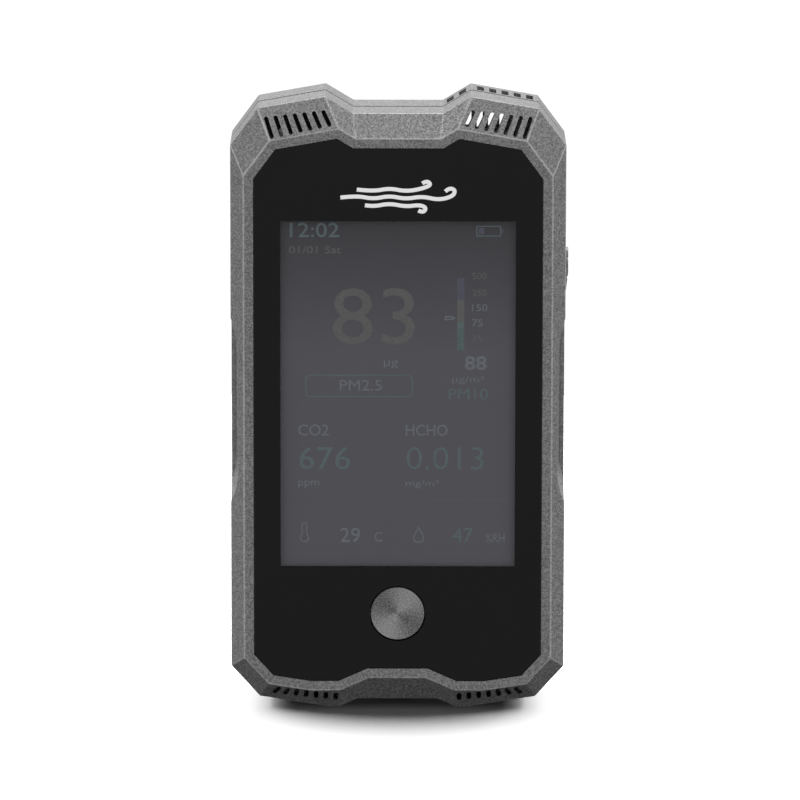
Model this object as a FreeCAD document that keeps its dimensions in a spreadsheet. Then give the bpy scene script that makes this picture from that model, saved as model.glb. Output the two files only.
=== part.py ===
"""A hand-held air quality monitor, built as the assembly of its real pieces.

The instrument stands upright on its lower end: +Z is up, the display faces -Y, and the origin is on the
ground under the middle of the case. Two painted mouldings make the case, a front bezel and a rear cover
that meet on the plane Y = 0. The bezel holds the glass, the display, the home button and the main board;
the board carries the battery and the sensors, and the cover closes over them.
"""

import FreeCAD, Part
import Sketcher
import math
import os

PARTS_FOLDER = "parts"
TINY = 1e-9

# Every driving size, in millimetres (degrees where a name ends in _angle, plain counts in _count).
CELLS = [
    # the case's outer outline, seen from the front; heights are from the ground, widths from the middle
    ("case_width", 70.0),
    ("case_height", 130.0),
    ("front_depth", 12.5),
    ("rear_depth", 12.5),
    ("low_notch_half", 8.4),
    ("low_notch_rise", 1.7),
    ("foot_half", 12.2),
    ("foot_width", 2.6),
    ("low_corner_in", 6.0),
    ("low_corner_rise", 2.2),
    ("low_corner_up", 8.8),
    ("high_corner_down", 10.2),
    ("high_corner_in", 5.7),
    ("high_lobe_drop", 2.5),
    ("high_lobe_half", 15.2),
    ("high_notch_half", 9.4),
    ("high_notch_drop", 3.5),
    # the bevel between the outer outline and the flat rim: how wide it looks along each side
    ("bevel_depth", 3.0),
    ("low_slope_bevel", 3.65),
    ("foot_bevel", 4.1),
    ("arch_bevel", 3.5),
    ("low_corner_bevel", 3.6),
    ("side_bevel", 2.8),
    ("high_corner_bevel", 5.85),
    ("lobe_bevel", 6.7),
    ("shoulder_bevel", 3.9),
    ("high_notch_bevel", 4.9),
    ("low_notch_bevel", 5.1),
    # mouldings
    ("wall", 1.8),
    ("rim_width", 2.0),
    ("parting_gap", 0.3),
    ("plate_thickness", 2.3),
    ("cover_step", 0.9),
    ("lip_height", 1.6),
    ("lip_thickness", 0.9),
    ("lip_gap", 0.15),
    # finger scoops along the bezel's sides
    ("scoop_radius", 13.5),
    ("scoop_bite", 2.5),
    ("scoop_length", 24.4),
    ("scoop_middle_height", 63.7),
    ("scoop_middle_depth", 5.8),
    ("scoop_backing", 1.3),
    ("scoop_backing_half", 22.8),
    # glass and display
    ("glass_recess", 0.4),
    ("glass_thickness", 1.1),
    ("glass_gap", 0.15),
    ("adhesive_thickness", 0.2),
    ("display_width", 55.2),
    ("display_length", 83.2),
    ("display_thickness", 1.0),
    ("display_low_edge", 28.4),
    ("backlight_thickness", 1.5),
    ("window_gap", 0.35),
    ("foam_width", 3.0),
    ("flex_half_width", 8.0),
    ("flex_thickness", 0.2),
    ("flex_bend_radius", 1.2),
    ("flex_start", 0.5),
    ("flex_socket_length", 5.0),
    ("flex_socket_overlap", 1.2),
    ("flex_drop", 6.0),
    # home button and its switch
    ("home_height", 20.6),
    ("home_radius", 5.75),
    ("home_gap", 0.16),
    ("home_sink", 0.12),
    ("home_flange", 0.5),
    ("home_stem_radius", 2.0),
    ("home_stem_length", 0.36),
    ("home_travel", 0.3),
    ("home_slack", 0.06),
    ("home_switch_side", 5.2),
    ("home_switch_height", 1.0),
    ("home_pin_radius", 1.3),
    ("home_pin_height", 0.45),
    ("pin_gap", 0.03),
    # front vents
    ("vent_count", 7.0),
    ("vent_radius", 0.44),
    ("high_vent_side", 8.15),
    ("high_vent_inner", 14.9),
    ("high_vent_outer_drop", 6.3),
    ("high_vent_inner_drop", 4.35),
    ("high_vent_outer_half", 1.75),
    ("high_vent_inner_half", 1.2),
    ("high_vent_lean", 0.6),
    ("low_vent_side", 9.6),
    ("low_vent_inner", 13.0),
    ("low_vent_outer_rise", 3.9),
    ("low_vent_inner_rise", 2.55),
    ("low_vent_half", 0.42),
    ("low_vent_radius", 0.5),
    ("low_vent_lean", 0.4),
    ("low_vent_reach", 2.5),
    # rear cover: vents in its top edge and in its back, sound holes, label
    ("top_vent_width", 1.45),
    ("top_vent_depth", 5.2),
    ("top_vent_setback", 1.4),
    ("top_vent_pitch", 2.57),
    ("top_vent_start", 17.2),
    ("top_vent_count", 5.0),
    ("slope_vent_start", 10.9),
    ("slope_vent_count", 2.0),
    ("top_vent_reach", 8.0),
    ("back_vent_start", 10.0),
    ("back_vent_pitch", 2.38),
    ("back_vent_radius", 0.62),
    ("back_vent_count", 6.0),
    ("back_vent_long_count", 4.0),
    ("back_vent_top_drop", 5.4),
    ("back_vent_long", 5.0),
    ("back_vent_short", 3.5),
    ("label_width", 44.0),
    ("label_length", 34.0),
    ("label_recess", 0.3),
    ("label_low_edge", 26.0),
    ("label_gap", 0.1),
    ("label_thickness", 0.2),
    ("sound_hole_radius", 0.55),
    ("sound_hole_pitch", 2.4),
    # case fasteners
    ("low_boss_height", 16.2),
    ("high_boss_drop", 15.8),
    ("boss_inset", 6.4),
    ("boss_radius", 2.5),
    ("cover_boss_radius", 3.0),
    ("insert_radius", 1.75),
    ("insert_bore", 1.06),
    ("insert_length", 4.0),
    ("screw_radius", 1.0),
    ("screw_gap", 0.15),
    ("screw_head_radius", 1.9),
    ("screw_head_height", 1.3),
    ("screw_head_sink", 0.4),
    ("screw_bite", 3.2),
    ("screw_socket_radius", 0.85),
    ("screw_socket_depth", 0.7),
    # main board
    ("board_gap", 2.6),
    ("board_thickness", 1.2),
    ("board_side_gap", 4.6),
    ("board_low_edge", 7.6),
    ("board_top_drop", 19.4),
    ("board_tab_half", 9.2),
    ("board_tab_top_drop", 10.0),
    ("port_tab_half", 6.2),
    ("port_tab_edge", 3.9),
    ("board_boss_gap", 0.3),
    ("post_radius", 1.9),
    ("post_bore", 0.78),
    ("post_bore_depth", 2.0),
    ("low_post_half", 20.0),
    ("low_post_height", 12.6),
    ("high_post_half", 6.2),
    ("high_post_drop", 12.6),
    ("board_screw_radius", 0.75),
    ("board_screw_bite", 1.7),
    ("board_screw_gap", 0.1),
    ("board_screw_slot_depth", 0.3),
    ("board_screw_head_radius", 1.5),
    ("board_screw_head_height", 0.8),
    # power key in the right side
    ("key_middle_height", 90.6),
    ("key_setback", 2.9),
    ("key_half_length", 5.6),
    ("key_half_width", 1.7),
    ("key_proud", 0.75),
    ("key_taper", 6.0),
    ("key_gap", 0.12),
    ("key_flange", 0.6),
    ("key_flange_thickness", 0.8),
    ("key_slack", 0.06),
    ("key_travel", 0.3),
    ("key_groove_half", 0.25),
    ("key_groove_depth", 0.35),
    ("key_groove_low", 0.6),
    ("key_groove_high", 3.4),
    ("key_stem_half", 0.9),
    ("key_stem_length", 0.5),
    ("key_switch_half_length", 2.3),
    ("key_switch_half_width", 1.4),
    ("key_switch_thickness", 1.5),
    ("key_pin_height", 0.45),
    ("key_pin_half", 0.6),
    ("key_board_thickness", 1.0),
    ("key_board_half_length", 5.2),
    ("key_board_reach", 10.4),
    # charging socket in the low notch
    ("socket_width", 7.5),
    ("socket_height", 2.7),
    ("socket_length", 5.2),
    ("socket_wall", 0.3),
    ("socket_setback", 0.5),
    ("socket_gap", 0.35),
    ("socket_tongue_half", 2.1),
    ("socket_tongue_thickness", 0.6),
    ("socket_back_wall", 0.6),
    # battery, its leads and their plug
    ("battery_width", 29.0),
    ("battery_length", 42.0),
    ("battery_thickness", 10.0),
    ("battery_left", -3.6),
    ("battery_low_edge", 29.4),
    ("battery_edge_radius", 1.2),
    ("tape_thickness", 0.3),
    ("tape_inset", 3.0),
    ("lead_radius", 0.5),
    ("lead_gap", 0.75),
    ("lead_bend_radius", 3.2),
    ("lead_end", 0.8),
    ("lead_height", 4.0),
    ("plug_half_width", 2.6),
    ("plug_length", 4.0),
    ("plug_thickness", 2.6),
    ("battery_socket_half_width", 3.1),
    ("battery_socket_length", 3.8),
    ("battery_socket_height", 3.2),
    ("battery_socket_low_edge", 11.4),
    # particle sensor with its blower
    ("dust_width", 46.0),
    ("dust_length", 35.0),
    ("dust_thickness", 11.6),
    ("dust_left", -25.0),
    ("dust_low_edge", 74.0),
    ("dust_wall", 1.2),
    ("dust_lid_thickness", 0.5),
    ("dust_lid_hole", 6.0),
    ("dust_standoff", 1.2),
    ("dust_header_half", 6.0),
    ("dust_header_width", 2.4),
    ("dust_inlet_half", 4.0),
    ("dust_inlet_middle", 14.5),
    ("fan_radius", 8.6),
    ("fan_thickness", 5.6),
    ("fan_hub_radius", 4.4),
    ("fan_blade_count", 11.0),
    ("fan_blade_thickness", 0.7),
    ("fan_shaft_radius", 0.75),
    ("fan_shaft_gap", 0.05),
    ("fan_shaft_over", 1.0),
    ("fan_base_radius", 4.2),
    ("fan_base_thickness", 1.2),
    ("fan_run_gap", 0.4),
    ("fan_left", 34.2),
    ("fan_up", 16.5),
    ("laser_radius", 2.4),
    ("laser_length", 8.0),
    ("laser_left", 2.6),
    ("laser_up", 22.0),
    ("optics_width", 18.0),
    ("optics_length", 12.0),
    ("optics_thickness", 1.0),
    ("optics_left", 3.0),
    ("optics_up", 3.0),
    # carbon dioxide sensor
    ("carbon_width", 20.0),
    ("carbon_length", 33.0),
    ("carbon_left", -27.0),
    ("carbon_low_edge", 21.0),
    ("carbon_board_thickness", 1.0),
    ("carbon_standoff", 1.6),
    ("carbon_edge", 1.0),
    ("carbon_body_length", 25.0),
    ("carbon_thickness", 7.0),
    ("carbon_header_half", 7.5),
    ("carbon_header_width", 2.4),
    ("membrane_width", 9.0),
    ("membrane_length", 14.0),
    ("membrane_thickness", 0.2),
    # formaldehyde sensor on its own board, behind the left upper vents
    ("gas_radius", 5.6),
    ("gas_height", 5.6),
    ("gas_across", 18.0),
    ("gas_drop", 12.8),
    ("gas_board_gap", 8.0),
    ("gas_board_thickness", 1.0),
    ("gas_board_half", 7.0),
    ("gas_board_down", 5.8),
    ("gas_board_up", 6.4),
    ("gas_post_across", 5.8),
    ("gas_post_up", 5.0),
    ("gas_post_radius", 1.2),
    ("gas_lead_half", 3.0),
    ("gas_lead_thickness", 0.25),
    ("gas_lead_overlap", 1.6),
    # open-cell foam behind the left upper vents, and mesh strips behind the lower vents
    ("filter_thickness", 1.0),
    ("filter_rise", 0.8),
    ("filter_gap", 0.3),
    ("mesh_thickness", 0.3),
    ("mesh_gap", 0.3),
    ("mesh_high_edge", 5.6),
    # small components on the main board
    ("chip_half", 5.0),
    ("chip_thickness", 1.0),
    ("chip_across", 13.0),
    ("chip_height", 21.0),
    ("coil_half", 2.4),
    ("coil_thickness", 2.0),
    ("coil_across", 11.0),
    ("coil_height", 13.0),
    ("buzzer_radius", 4.8),
    ("buzzer_height", 3.0),
    ("buzzer_port_radius", 1.0),
    ("buzzer_across", 17.0),
    ("buzzer_up", 63.6),
    ("climate_half", 1.25),
    ("climate_thickness", 0.9),
    ("climate_across", 24.0),
    ("climate_height", 10.4),
]


class Size:
    """A number together with the spreadsheet formula it comes from: arithmetic on one works out both."""

    def __init__(self, value, formula):
        self.value = float(value)
        self.formula = formula

    @staticmethod
    def of(thing):
        return thing if isinstance(thing, Size) else Size(thing, f"({float(thing)!r})")

    def __add__(self, other):
        other = Size.of(other)
        return Size(self.value + other.value, f"({self.formula} + {other.formula})")

    def __sub__(self, other):
        other = Size.of(other)
        return Size(self.value - other.value, f"({self.formula} - {other.formula})")

    def __mul__(self, other):
        other = Size.of(other)
        return Size(self.value * other.value, f"({self.formula} * {other.formula})")

    def __truediv__(self, other):
        other = Size.of(other)
        return Size(self.value / other.value, f"({self.formula} / {other.formula})")

    def __radd__(self, other):
        return Size.of(other) + self

    def __rsub__(self, other):
        return Size.of(other) - self

    def __rmul__(self, other):
        return Size.of(other) * self

    def __neg__(self):
        return Size(-self.value, f"(0 - {self.formula})")


class Sheet:
    """The spreadsheet of driving sizes; each alias is read as an attribute, as a Size."""

    def __init__(self, doc, cells):
        self.cells = doc.addObject("Spreadsheet::Sheet", "Sizes")
        self.values = {}
        for row, (alias, value) in enumerate(cells, start=1):
            self.cells.set(f"A{row}", alias)
            self.cells.set(f"B{row}", str(value))
            self.cells.setAlias(f"B{row}", alias)
            self.values[alias] = value
        doc.recompute()

    def __getattr__(self, alias):
        return Size(self.values[alias], f"Sizes.{alias}")


doc = FreeCAD.newDocument("air_quality_monitor")
S = Sheet(doc, CELLS)
bodies = []

# ---------------------------------------------------------------- sketches and features

PLANES = {"front": "XZ_Plane", "top": "XY_Plane", "side": "YZ_Plane"}


def bind(thing, path, size):
    """Ties a property to its formula, or sets it where it is a plain number."""
    size = Size.of(size)
    thing.setExpression(path, size.formula)


def depth(distance):
    """How far along -Y a plane lies that is this far behind the bezel's front rim."""
    return S.front_depth - distance


def new_body(label):
    body = doc.addObject("PartDesign::Body", label)
    body.Label = label
    bodies.append(body)
    return body


def new_sketch(body, name, plane, height, draw, across=0.0, along=0.0):
    """A sketch on one of the body's own planes, moved along that plane's normal and within it."""
    sketch = body.newObject("Sketcher::SketchObject", name)
    origin_plane = [f for f in body.Origin.OriginFeatures if f.Role == PLANES[plane]][0]
    sketch.AttachmentSupport = [(origin_plane, "")]
    sketch.MapMode = "FlatFace"
    bind(sketch, "AttachmentOffset.Base.x", across)
    bind(sketch, "AttachmentOffset.Base.y", along)
    bind(sketch, "AttachmentOffset.Base.z", height)
    drawing = Drawing(sketch)
    draw(drawing)
    drawing.finish()
    return sketch


class Drawing:
    """Gathers one sketch's shapes and rules, then adds them all together, so it is solved once."""

    def __init__(self, sketch):
        self.sketch = sketch
        self.shapes = []
        self.guides = []
        self.rules = []
        self.sizes = []

    def shape(self, geometry, guide=False):
        self.shapes.append(geometry)
        if guide:
            self.guides.append(len(self.shapes) - 1)
        return len(self.shapes) - 1

    def rule(self, *parts, size=None):
        if size is not None:
            size = Size.of(size)
            self.sizes.append((len(self.rules), size))
            parts = (*parts, size.value)
        self.rules.append(Sketcher.Constraint(*parts))

    def place(self, geometry, end, x, y):
        """Fixes one point of the sketch at formulas for its two coordinates."""
        for kind, axis, size in (("DistanceX", -2, Size.of(x)), ("DistanceY", -1, Size.of(y))):
            if abs(size.value) < TINY:
                self.rule("PointOnObject", geometry, end, axis)
            else:
                self.rule(kind, -1, 1, geometry, end, size=size)

    def line(self, start, end, guide=False):
        return self.shape(Part.LineSegment(FreeCAD.Vector(*start, 0), FreeCAD.Vector(*end, 0)), guide)

    def closed_lines(self, numbers, guide=False):
        """A closed chain of lines through plain coordinates, joined end to end; gives their indices."""
        count = len(numbers)
        lines = [self.line(numbers[i], numbers[(i + 1) % count], guide) for i in range(count)]
        for i in range(count):
            self.rule("Coincident", lines[i], 2, lines[(i + 1) % count], 1)
        return lines

    def polygon(self, points):
        numbers = [(Size.of(x).value, Size.of(y).value) for x, y in points]
        for index, (x, y) in zip(self.closed_lines(numbers), points):
            self.place(index, 1, x, y)

    def box(self, left, low, right, high):
        self.polygon([(left, low), (right, low), (right, high), (left, high)])

    def circle(self, x, y, radius):
        centre = FreeCAD.Vector(Size.of(x).value, Size.of(y).value, 0)
        index = self.shape(Part.Circle(centre, FreeCAD.Vector(0, 0, 1), Size.of(radius).value))
        self.place(index, 3, x, y)
        self.rule("Radius", index, size=radius)

    def arc(self, x, y, radius, start, end):
        """An arc through plain numbers, for its maker to tie to its neighbours."""
        ring = Part.Circle(FreeCAD.Vector(x, y, 0), FreeCAD.Vector(0, 0, 1), radius)
        return self.shape(Part.ArcOfCircle(ring, start, end))

    def slot(self, start, end, radius):
        """A round-ended slot between two centres."""
        (x0, y0), (x1, y1) = [(Size.of(x).value, Size.of(y).value) for x, y in (start, end)]
        reach = Size.of(radius).value
        heading = math.atan2(y1 - y0, x1 - x0)
        quarter = math.pi / 2
        side_x = -math.sin(heading) * reach
        side_y = math.cos(heading) * reach
        near = self.arc(x0, y0, reach, heading + quarter, heading + 3 * quarter)
        low = self.line((x0 - side_x, y0 - side_y), (x1 - side_x, y1 - side_y))
        far = self.arc(x1, y1, reach, heading - quarter, heading + quarter)
        high = self.line((x1 + side_x, y1 + side_y), (x0 + side_x, y0 + side_y))
        for one, other in ((near, low), (low, far), (far, high), (high, near)):
            self.rule("Tangent", one, 2, other, 1)
        self.rule("Equal", near, far)
        self.place(near, 3, *start)
        self.place(far, 3, *end)
        self.rule("Radius", near, size=radius)

    def finish(self):
        self.sketch.addGeometry(self.shapes, False)
        for index in self.guides:
            self.sketch.setConstruction(index, True)
        self.sketch.addConstraint(self.rules)
        for index, size in self.sizes:
            bind(self.sketch, f"Constraints[{index}]", size)


def volume(body):
    return body.Shape.Volume if body.Tip else 0.0


def add(body, name, plane, draw, low, high, origin=(0, 0)):
    """Pads what draw puts in the sketch, from low to high along the plane's normal."""
    before = volume(body)
    sketch = new_sketch(body, f"{name}_sketch", plane, low, draw, *origin)
    pad = body.newObject("PartDesign::Pad", name)
    pad.Profile = sketch
    bind(pad, "Length", Size.of(high) - Size.of(low))
    doc.recompute()
    if not volume(body) > before:
        raise ValueError(f"{body.Label}: pad {name} added nothing")
    return pad


def cut(body, name, plane, draw, low, high):
    """Pockets what draw puts in the sketch, from high down to low along the plane's normal."""
    before = volume(body)
    sketch = new_sketch(body, f"{name}_sketch", plane, high, draw)
    pocket = body.newObject("PartDesign::Pocket", name)
    pocket.Profile = sketch
    bind(pocket, "Length", Size.of(high) - Size.of(low))
    doc.recompute()
    if not volume(body) < before:
        raise ValueError(f"{body.Label}: pocket {name} cut nothing")
    return pocket


def behind(near, far):
    """The heights along -Y of what lies between two depths behind the bezel's front rim."""
    return depth(far), depth(near)


def row_y(distance):
    """The Y of a point that lies that far behind the bezel's front rim."""
    return Size.of(distance) - S.front_depth


def layer(name, draw, near, far):
    """A flat piece facing the front, from one depth behind the rim to another."""
    body = new_body(name)
    add(body, name, "front", draw, *behind(near, far))
    return body


def soften(body, name, radius, chosen):
    """Rounds the edges that chosen picks out."""
    base = body.Tip
    edges = [f"Edge{i}" for i, edge in enumerate(body.Shape.Edges, start=1) if chosen(edge)]
    fillet = body.newObject("PartDesign::Fillet", name)
    fillet.Base = (base, edges)
    bind(fillet, "Radius", radius)
    doc.recompute()
    return fillet


# ---------------------------------------------------------------- drawings


def box(left, low, right, high):
    return lambda drawing: drawing.box(left, low, right, high)


def centred(x, y, half_x, half_y):
    return box(x - half_x, y - half_y, x + half_x, y + half_y)


def polygon(points):
    return lambda drawing: drawing.polygon(points)


def slot(start, end, radius):
    return lambda drawing: drawing.slot(start, end, radius)


def discs(points, radius):
    return lambda drawing: [drawing.circle(x, y, radius) for x, y in points]


def together(*drawings):
    return lambda drawing: [draw(drawing) for draw in drawings]


def both_sides(across, *heights):
    """The points at those heights, on the left and on the right of the middle."""
    return [(side * across, height) for side in (-1, 1) for height in heights]


# ---------------------------------------------------------------- the case's outlines

HALF = S.case_width / 2


def outer_corners():
    """The right half of the case's outer outline, from the low notch round to the high notch."""
    top = S.case_height
    return [
        (S.low_notch_half, S.low_notch_rise),
        (S.foot_half, 0),
        (S.foot_half + S.foot_width, 0),
        (HALF - S.low_corner_in, S.low_corner_rise),
        (HALF, S.low_corner_up),
        (HALF, top - S.high_corner_down),
        (HALF - S.high_corner_in, top - S.high_lobe_drop),
        (S.high_lobe_half, top),
        (S.high_notch_half, top - S.high_notch_drop),
    ]


# how far in the flat rim's edge lies along each of those sides, the high notch's and the low notch's last
BEVELS = [
    S.low_slope_bevel,
    S.foot_bevel,
    S.arch_bevel,
    S.low_corner_bevel,
    S.side_bevel,
    S.high_corner_bevel,
    S.lobe_bevel,
    S.shoulder_bevel,
    S.high_notch_bevel,
    S.low_notch_bevel,
]


def stepped_in(numbers, distances):
    """Where a closed outline's corners go when its sides move inwards, each by its own distance."""
    count = len(numbers)
    moved = []
    for i, corner in enumerate(numbers):
        before, after = numbers[i - 1], numbers[(i + 1) % count]
        one = FreeCAD.Vector(corner[0] - before[0], corner[1] - before[1], 0).normalize()
        two = FreeCAD.Vector(after[0] - corner[0], after[1] - corner[1], 0).normalize()
        shift = (two * distances[i - 1] - one * distances[i]) / one.cross(two).z
        moved.append((corner[0] + shift.x, corner[1] + shift.y))
    return moved


def full_outline():
    """The whole outer outline's corners as plain numbers, anticlockwise from the low notch."""
    half = [(Size.of(x).value, Size.of(y).value) for x, y in outer_corners()]
    return half + [(-x, y) for x, y in reversed(half)]


def mirror_in_middle(drawing, sides, i):
    drawing.rule("Symmetric", sides[i], 1, sides[len(sides) - 1 - i], 1, -2)


def draw_outline(drawing, insets=None):
    """The case's outline. With insets, one for each side as in BEVELS, the outer outline is only a guide
    and the drawn one runs inside it, each side parallel to its own and its inset away."""
    numbers = full_outline()
    half = outer_corners()
    last = len(numbers) - 1
    sides = drawing.closed_lines(numbers, guide=insets is not None)
    for i, (x, y) in enumerate(half):
        drawing.place(sides[i], 1, x, y)
        mirror_in_middle(drawing, sides, i)
    if insets is None:
        return
    distances = [inset.value for inset in insets]
    around = distances[:-1] + distances[-3::-1] + distances[-1:]
    inner = drawing.closed_lines(stepped_in(numbers, around))
    for i in range(len(half)):
        mirror_in_middle(drawing, inner, i)
        if i < len(half) - 1:
            drawing.rule("Parallel", inner[i], sides[i])
        drawing.rule("Distance", inner[i], 1, sides[i], size=insets[i])
    drawing.rule("Distance", inner[last], 1, sides[last], size=insets[-1])


def within(distance):
    """The outer outline moved in by one distance all round."""
    return lambda drawing: draw_outline(drawing, [Size.of(distance)] * len(BEVELS))


def within_rim(distance):
    """The flat rim's own edge, moved in by one distance all round."""
    return lambda drawing: draw_outline(drawing, [bevel + distance for bevel in BEVELS])


def shell_block(body, name, toward_front):
    """The outside of one case half: a bevelled end over a straight wall down to the parting plane."""
    thickness = S.front_depth if toward_front else S.rear_depth
    sign = 1 if toward_front else -1
    rim = new_sketch(body, f"{name}_rim", "front", thickness * sign, within_rim(0))
    edge = new_sketch(body, f"{name}_edge", "front", (thickness - S.bevel_depth) * sign, draw_outline)
    bevels = body.newObject("PartDesign::AdditiveLoft", f"{name}_bevels")
    bevels.Profile = edge
    bevels.Sections = [rim]
    bevels.Ruled = True
    doc.recompute()
    walls = body.newObject("PartDesign::Pad", f"{name}_walls")
    walls.Profile = edge
    bind(walls, "Length", thickness - S.bevel_depth - S.parting_gap / 2)
    walls.Reversed = toward_front
    doc.recompute()


# ---------------------------------------------------------------- where the layers lie, front to back

BACK = S.front_depth + S.rear_depth
GLASS_BACK = S.glass_recess + S.glass_thickness
PLATE_FRONT = GLASS_BACK + S.adhesive_thickness
PLATE_BACK = PLATE_FRONT + S.plate_thickness
PANEL_BACK = PLATE_FRONT + S.display_thickness
DISPLAY_BACK = PANEL_BACK + S.backlight_thickness
BOARD_FRONT = PLATE_BACK + S.board_gap
BOARD_BACK = BOARD_FRONT + S.board_thickness
COVER_INSIDE = BACK - S.wall
BEZEL_END = S.front_depth - S.parting_gap / 2
COVER_START = S.front_depth + S.parting_gap / 2
DISPLAY_TOP = S.display_low_edge + S.display_length
BOARD_TOP = S.case_height - S.board_top_drop
HOME = (0, S.home_height)
BOSSES = both_sides(HALF - S.boss_inset, S.low_boss_height, S.case_height - S.high_boss_drop)
BOARD_POSTS = both_sides(S.low_post_half, S.low_post_height)
BOARD_POSTS += both_sides(S.high_post_half, S.case_height - S.high_post_drop)
GAS_FRONT = PLATE_BACK + S.gas_board_gap
GAS_ACROSS = -S.gas_across
GAS_UP = S.case_height - S.gas_drop
GAS_POSTS = [(GAS_ACROSS + side * S.gas_post_across, GAS_UP + S.gas_post_up) for side in (-1, 1)]
ROOT = 0.5
PAST = 1.0

# ---------------------------------------------------------------- the two mouldings


def high_vents(drawing):
    last = S.vent_count.value - 1
    outer = HALF - S.high_vent_side
    for number in range(int(S.vent_count.value)):
        share = number / last
        x = outer + (S.high_vent_inner - outer) * share
        middle = S.case_height - S.high_vent_outer_drop
        middle = middle + (S.high_vent_outer_drop - S.high_vent_inner_drop) * share
        half = S.high_vent_outer_half + (S.high_vent_inner_half - S.high_vent_outer_half) * share
        for side in (-1, 1):
            low = (side * (x - S.high_vent_lean), middle - half)
            high = (side * (x + S.high_vent_lean), middle + half)
            drawing.slot(low, high, S.vent_radius)


def low_vents(drawing):
    last = S.vent_count.value - 1
    outer = HALF - S.low_vent_side
    for number in range(int(S.vent_count.value)):
        share = number / last
        x = outer + (S.low_vent_inner - outer) * share
        middle = S.low_vent_outer_rise + (S.low_vent_inner_rise - S.low_vent_outer_rise) * share
        lean = S.low_vent_lean * (1 - share) ** 3
        for side in (-1, 1):
            low = (side * (x + lean), middle - S.low_vent_half)
            high = (side * (x - lean), middle + S.low_vent_half)
            drawing.slot(low, high, S.low_vent_radius)


def window(gap):
    """The display's window, with room above it for the folded ribbon."""
    half = S.display_width / 2 + gap
    ribbon_half = S.flex_half_width + gap
    low = S.display_low_edge - gap
    shoulder = DISPLAY_TOP + gap
    top = DISPLAY_TOP + S.flex_start + S.flex_bend_radius + S.flex_thickness + gap
    corners = [(half, low), (half, shoulder), (ribbon_half, shoulder), (ribbon_half, top)]
    corners += [(-x, y) for x, y in reversed(corners)]
    return polygon(corners)


def scoop_cut(body, side):
    """One concave finger scoop: a round-ended cylinder lying upright beside the case."""
    x = side * (HALF - S.scoop_bite + S.scoop_radius)
    y = row_y(S.scoop_middle_depth)
    word = "left" if side < 0 else "right"
    ends = [S.scoop_middle_height - S.scoop_length / 2, S.scoop_middle_height + S.scoop_length / 2]
    shapes = [("Cylinder", ends[0]), ("Sphere", ends[0]), ("Sphere", ends[1])]
    for number, (kind, height) in enumerate(shapes):
        tool = body.newObject(f"PartDesign::Subtractive{kind}", f"scoop_{word}_{number}")
        bind(tool, "Radius", S.scoop_radius)
        if kind == "Cylinder":
            bind(tool, "Height", S.scoop_length)
        for axis, size in zip("xyz", (x, y, height)):
            bind(tool, f"Placement.Base.{axis}", size)
        doc.recompute()


def front_bezel():
    body = new_body("front_bezel")
    shell_block(body, "bezel", toward_front=True)
    cut(body, "cavity", "front", within(S.wall), *behind(PLATE_BACK, S.front_depth))
    cut(body, "glass_seat", "front", within_rim(S.rim_width), *behind(-PAST, PLATE_FRONT))
    through_plate = behind(PLATE_FRONT - S.adhesive_thickness, PLATE_BACK + PAST)
    cut(body, "display_window", "front", window(S.window_gap), *through_plate)
    cut(body, "home_hole", "front", discs([HOME], S.home_radius + S.home_gap), *through_plate)
    cut(body, "high_vents", "front", high_vents, *behind(-PAST, PLATE_BACK + ROOT))
    cut(body, "low_vents", "front", low_vents, *behind(-PAST, PLATE_BACK + S.low_vent_reach))

    backing = HALF - S.scoop_bite - S.scoop_backing
    low = S.scoop_middle_height - S.scoop_backing_half
    high = S.scoop_middle_height + S.scoop_backing_half
    edge = HALF - S.wall / 2
    pads = together(box(backing, low, edge, high), box(-edge, low, -backing, high))
    add(body, "scoop_backing", "front", pads, *behind(PLATE_BACK - ROOT, BEZEL_END - S.lip_thickness))
    for side in (-1, 1):
        scoop_cut(body, side)

    add(body, "bosses", "front", discs(BOSSES, S.boss_radius), *behind(PLATE_BACK - ROOT, BEZEL_END))
    seat = behind(BEZEL_END - S.insert_length, S.front_depth)
    cut(body, "insert_seats", "front", discs(BOSSES, S.insert_radius), *seat)
    add(body, "posts", "front", discs(BOARD_POSTS, S.post_radius), *behind(PLATE_BACK - ROOT, BOARD_FRONT))
    pilot = behind(BOARD_FRONT - S.post_bore_depth, BOARD_FRONT)
    cut(body, "post_bores", "front", discs(BOARD_POSTS, S.post_bore), *pilot)
    gas_posts = discs(GAS_POSTS, S.gas_post_radius)
    add(body, "gas_posts", "front", gas_posts, *behind(PLATE_BACK - ROOT, GAS_FRONT))

    half = S.socket_width / 2 + S.socket_gap
    near = row_y(BOARD_BACK) - S.socket_gap
    far = row_y(BOARD_BACK) + S.socket_height + S.socket_gap
    cut(body, "port", "top", box(-half, near, half, far), -PAST, S.low_notch_rise + S.wall + ROOT)


def top_vents(drawing):
    """Square-cornered vents across the right lobe's edge, just behind the parting line."""
    near = row_y(COVER_START + S.top_vent_setback)
    rows = [(S.top_vent_start, S.top_vent_count), (S.slope_vent_start, S.slope_vent_count)]
    for start, count in rows:
        for number in range(int(count.value)):
            left = start + S.top_vent_pitch * number - S.top_vent_width / 2
            drawing.box(left, near, left + S.top_vent_width, near + S.top_vent_depth)


def back_vents(drawing):
    """Round-ended upright vents through the cover's back, the outer ones shorter."""
    top = S.case_height - S.back_vent_top_drop
    for number in range(int(S.back_vent_count.value)):
        x = S.back_vent_start + S.back_vent_pitch * number
        is_long = number < S.back_vent_long_count.value
        length = S.back_vent_long if is_long else S.back_vent_short
        for side in (-1, 1):
            drawing.slot((side * x, top - length), (side * x, top), S.back_vent_radius)


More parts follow.
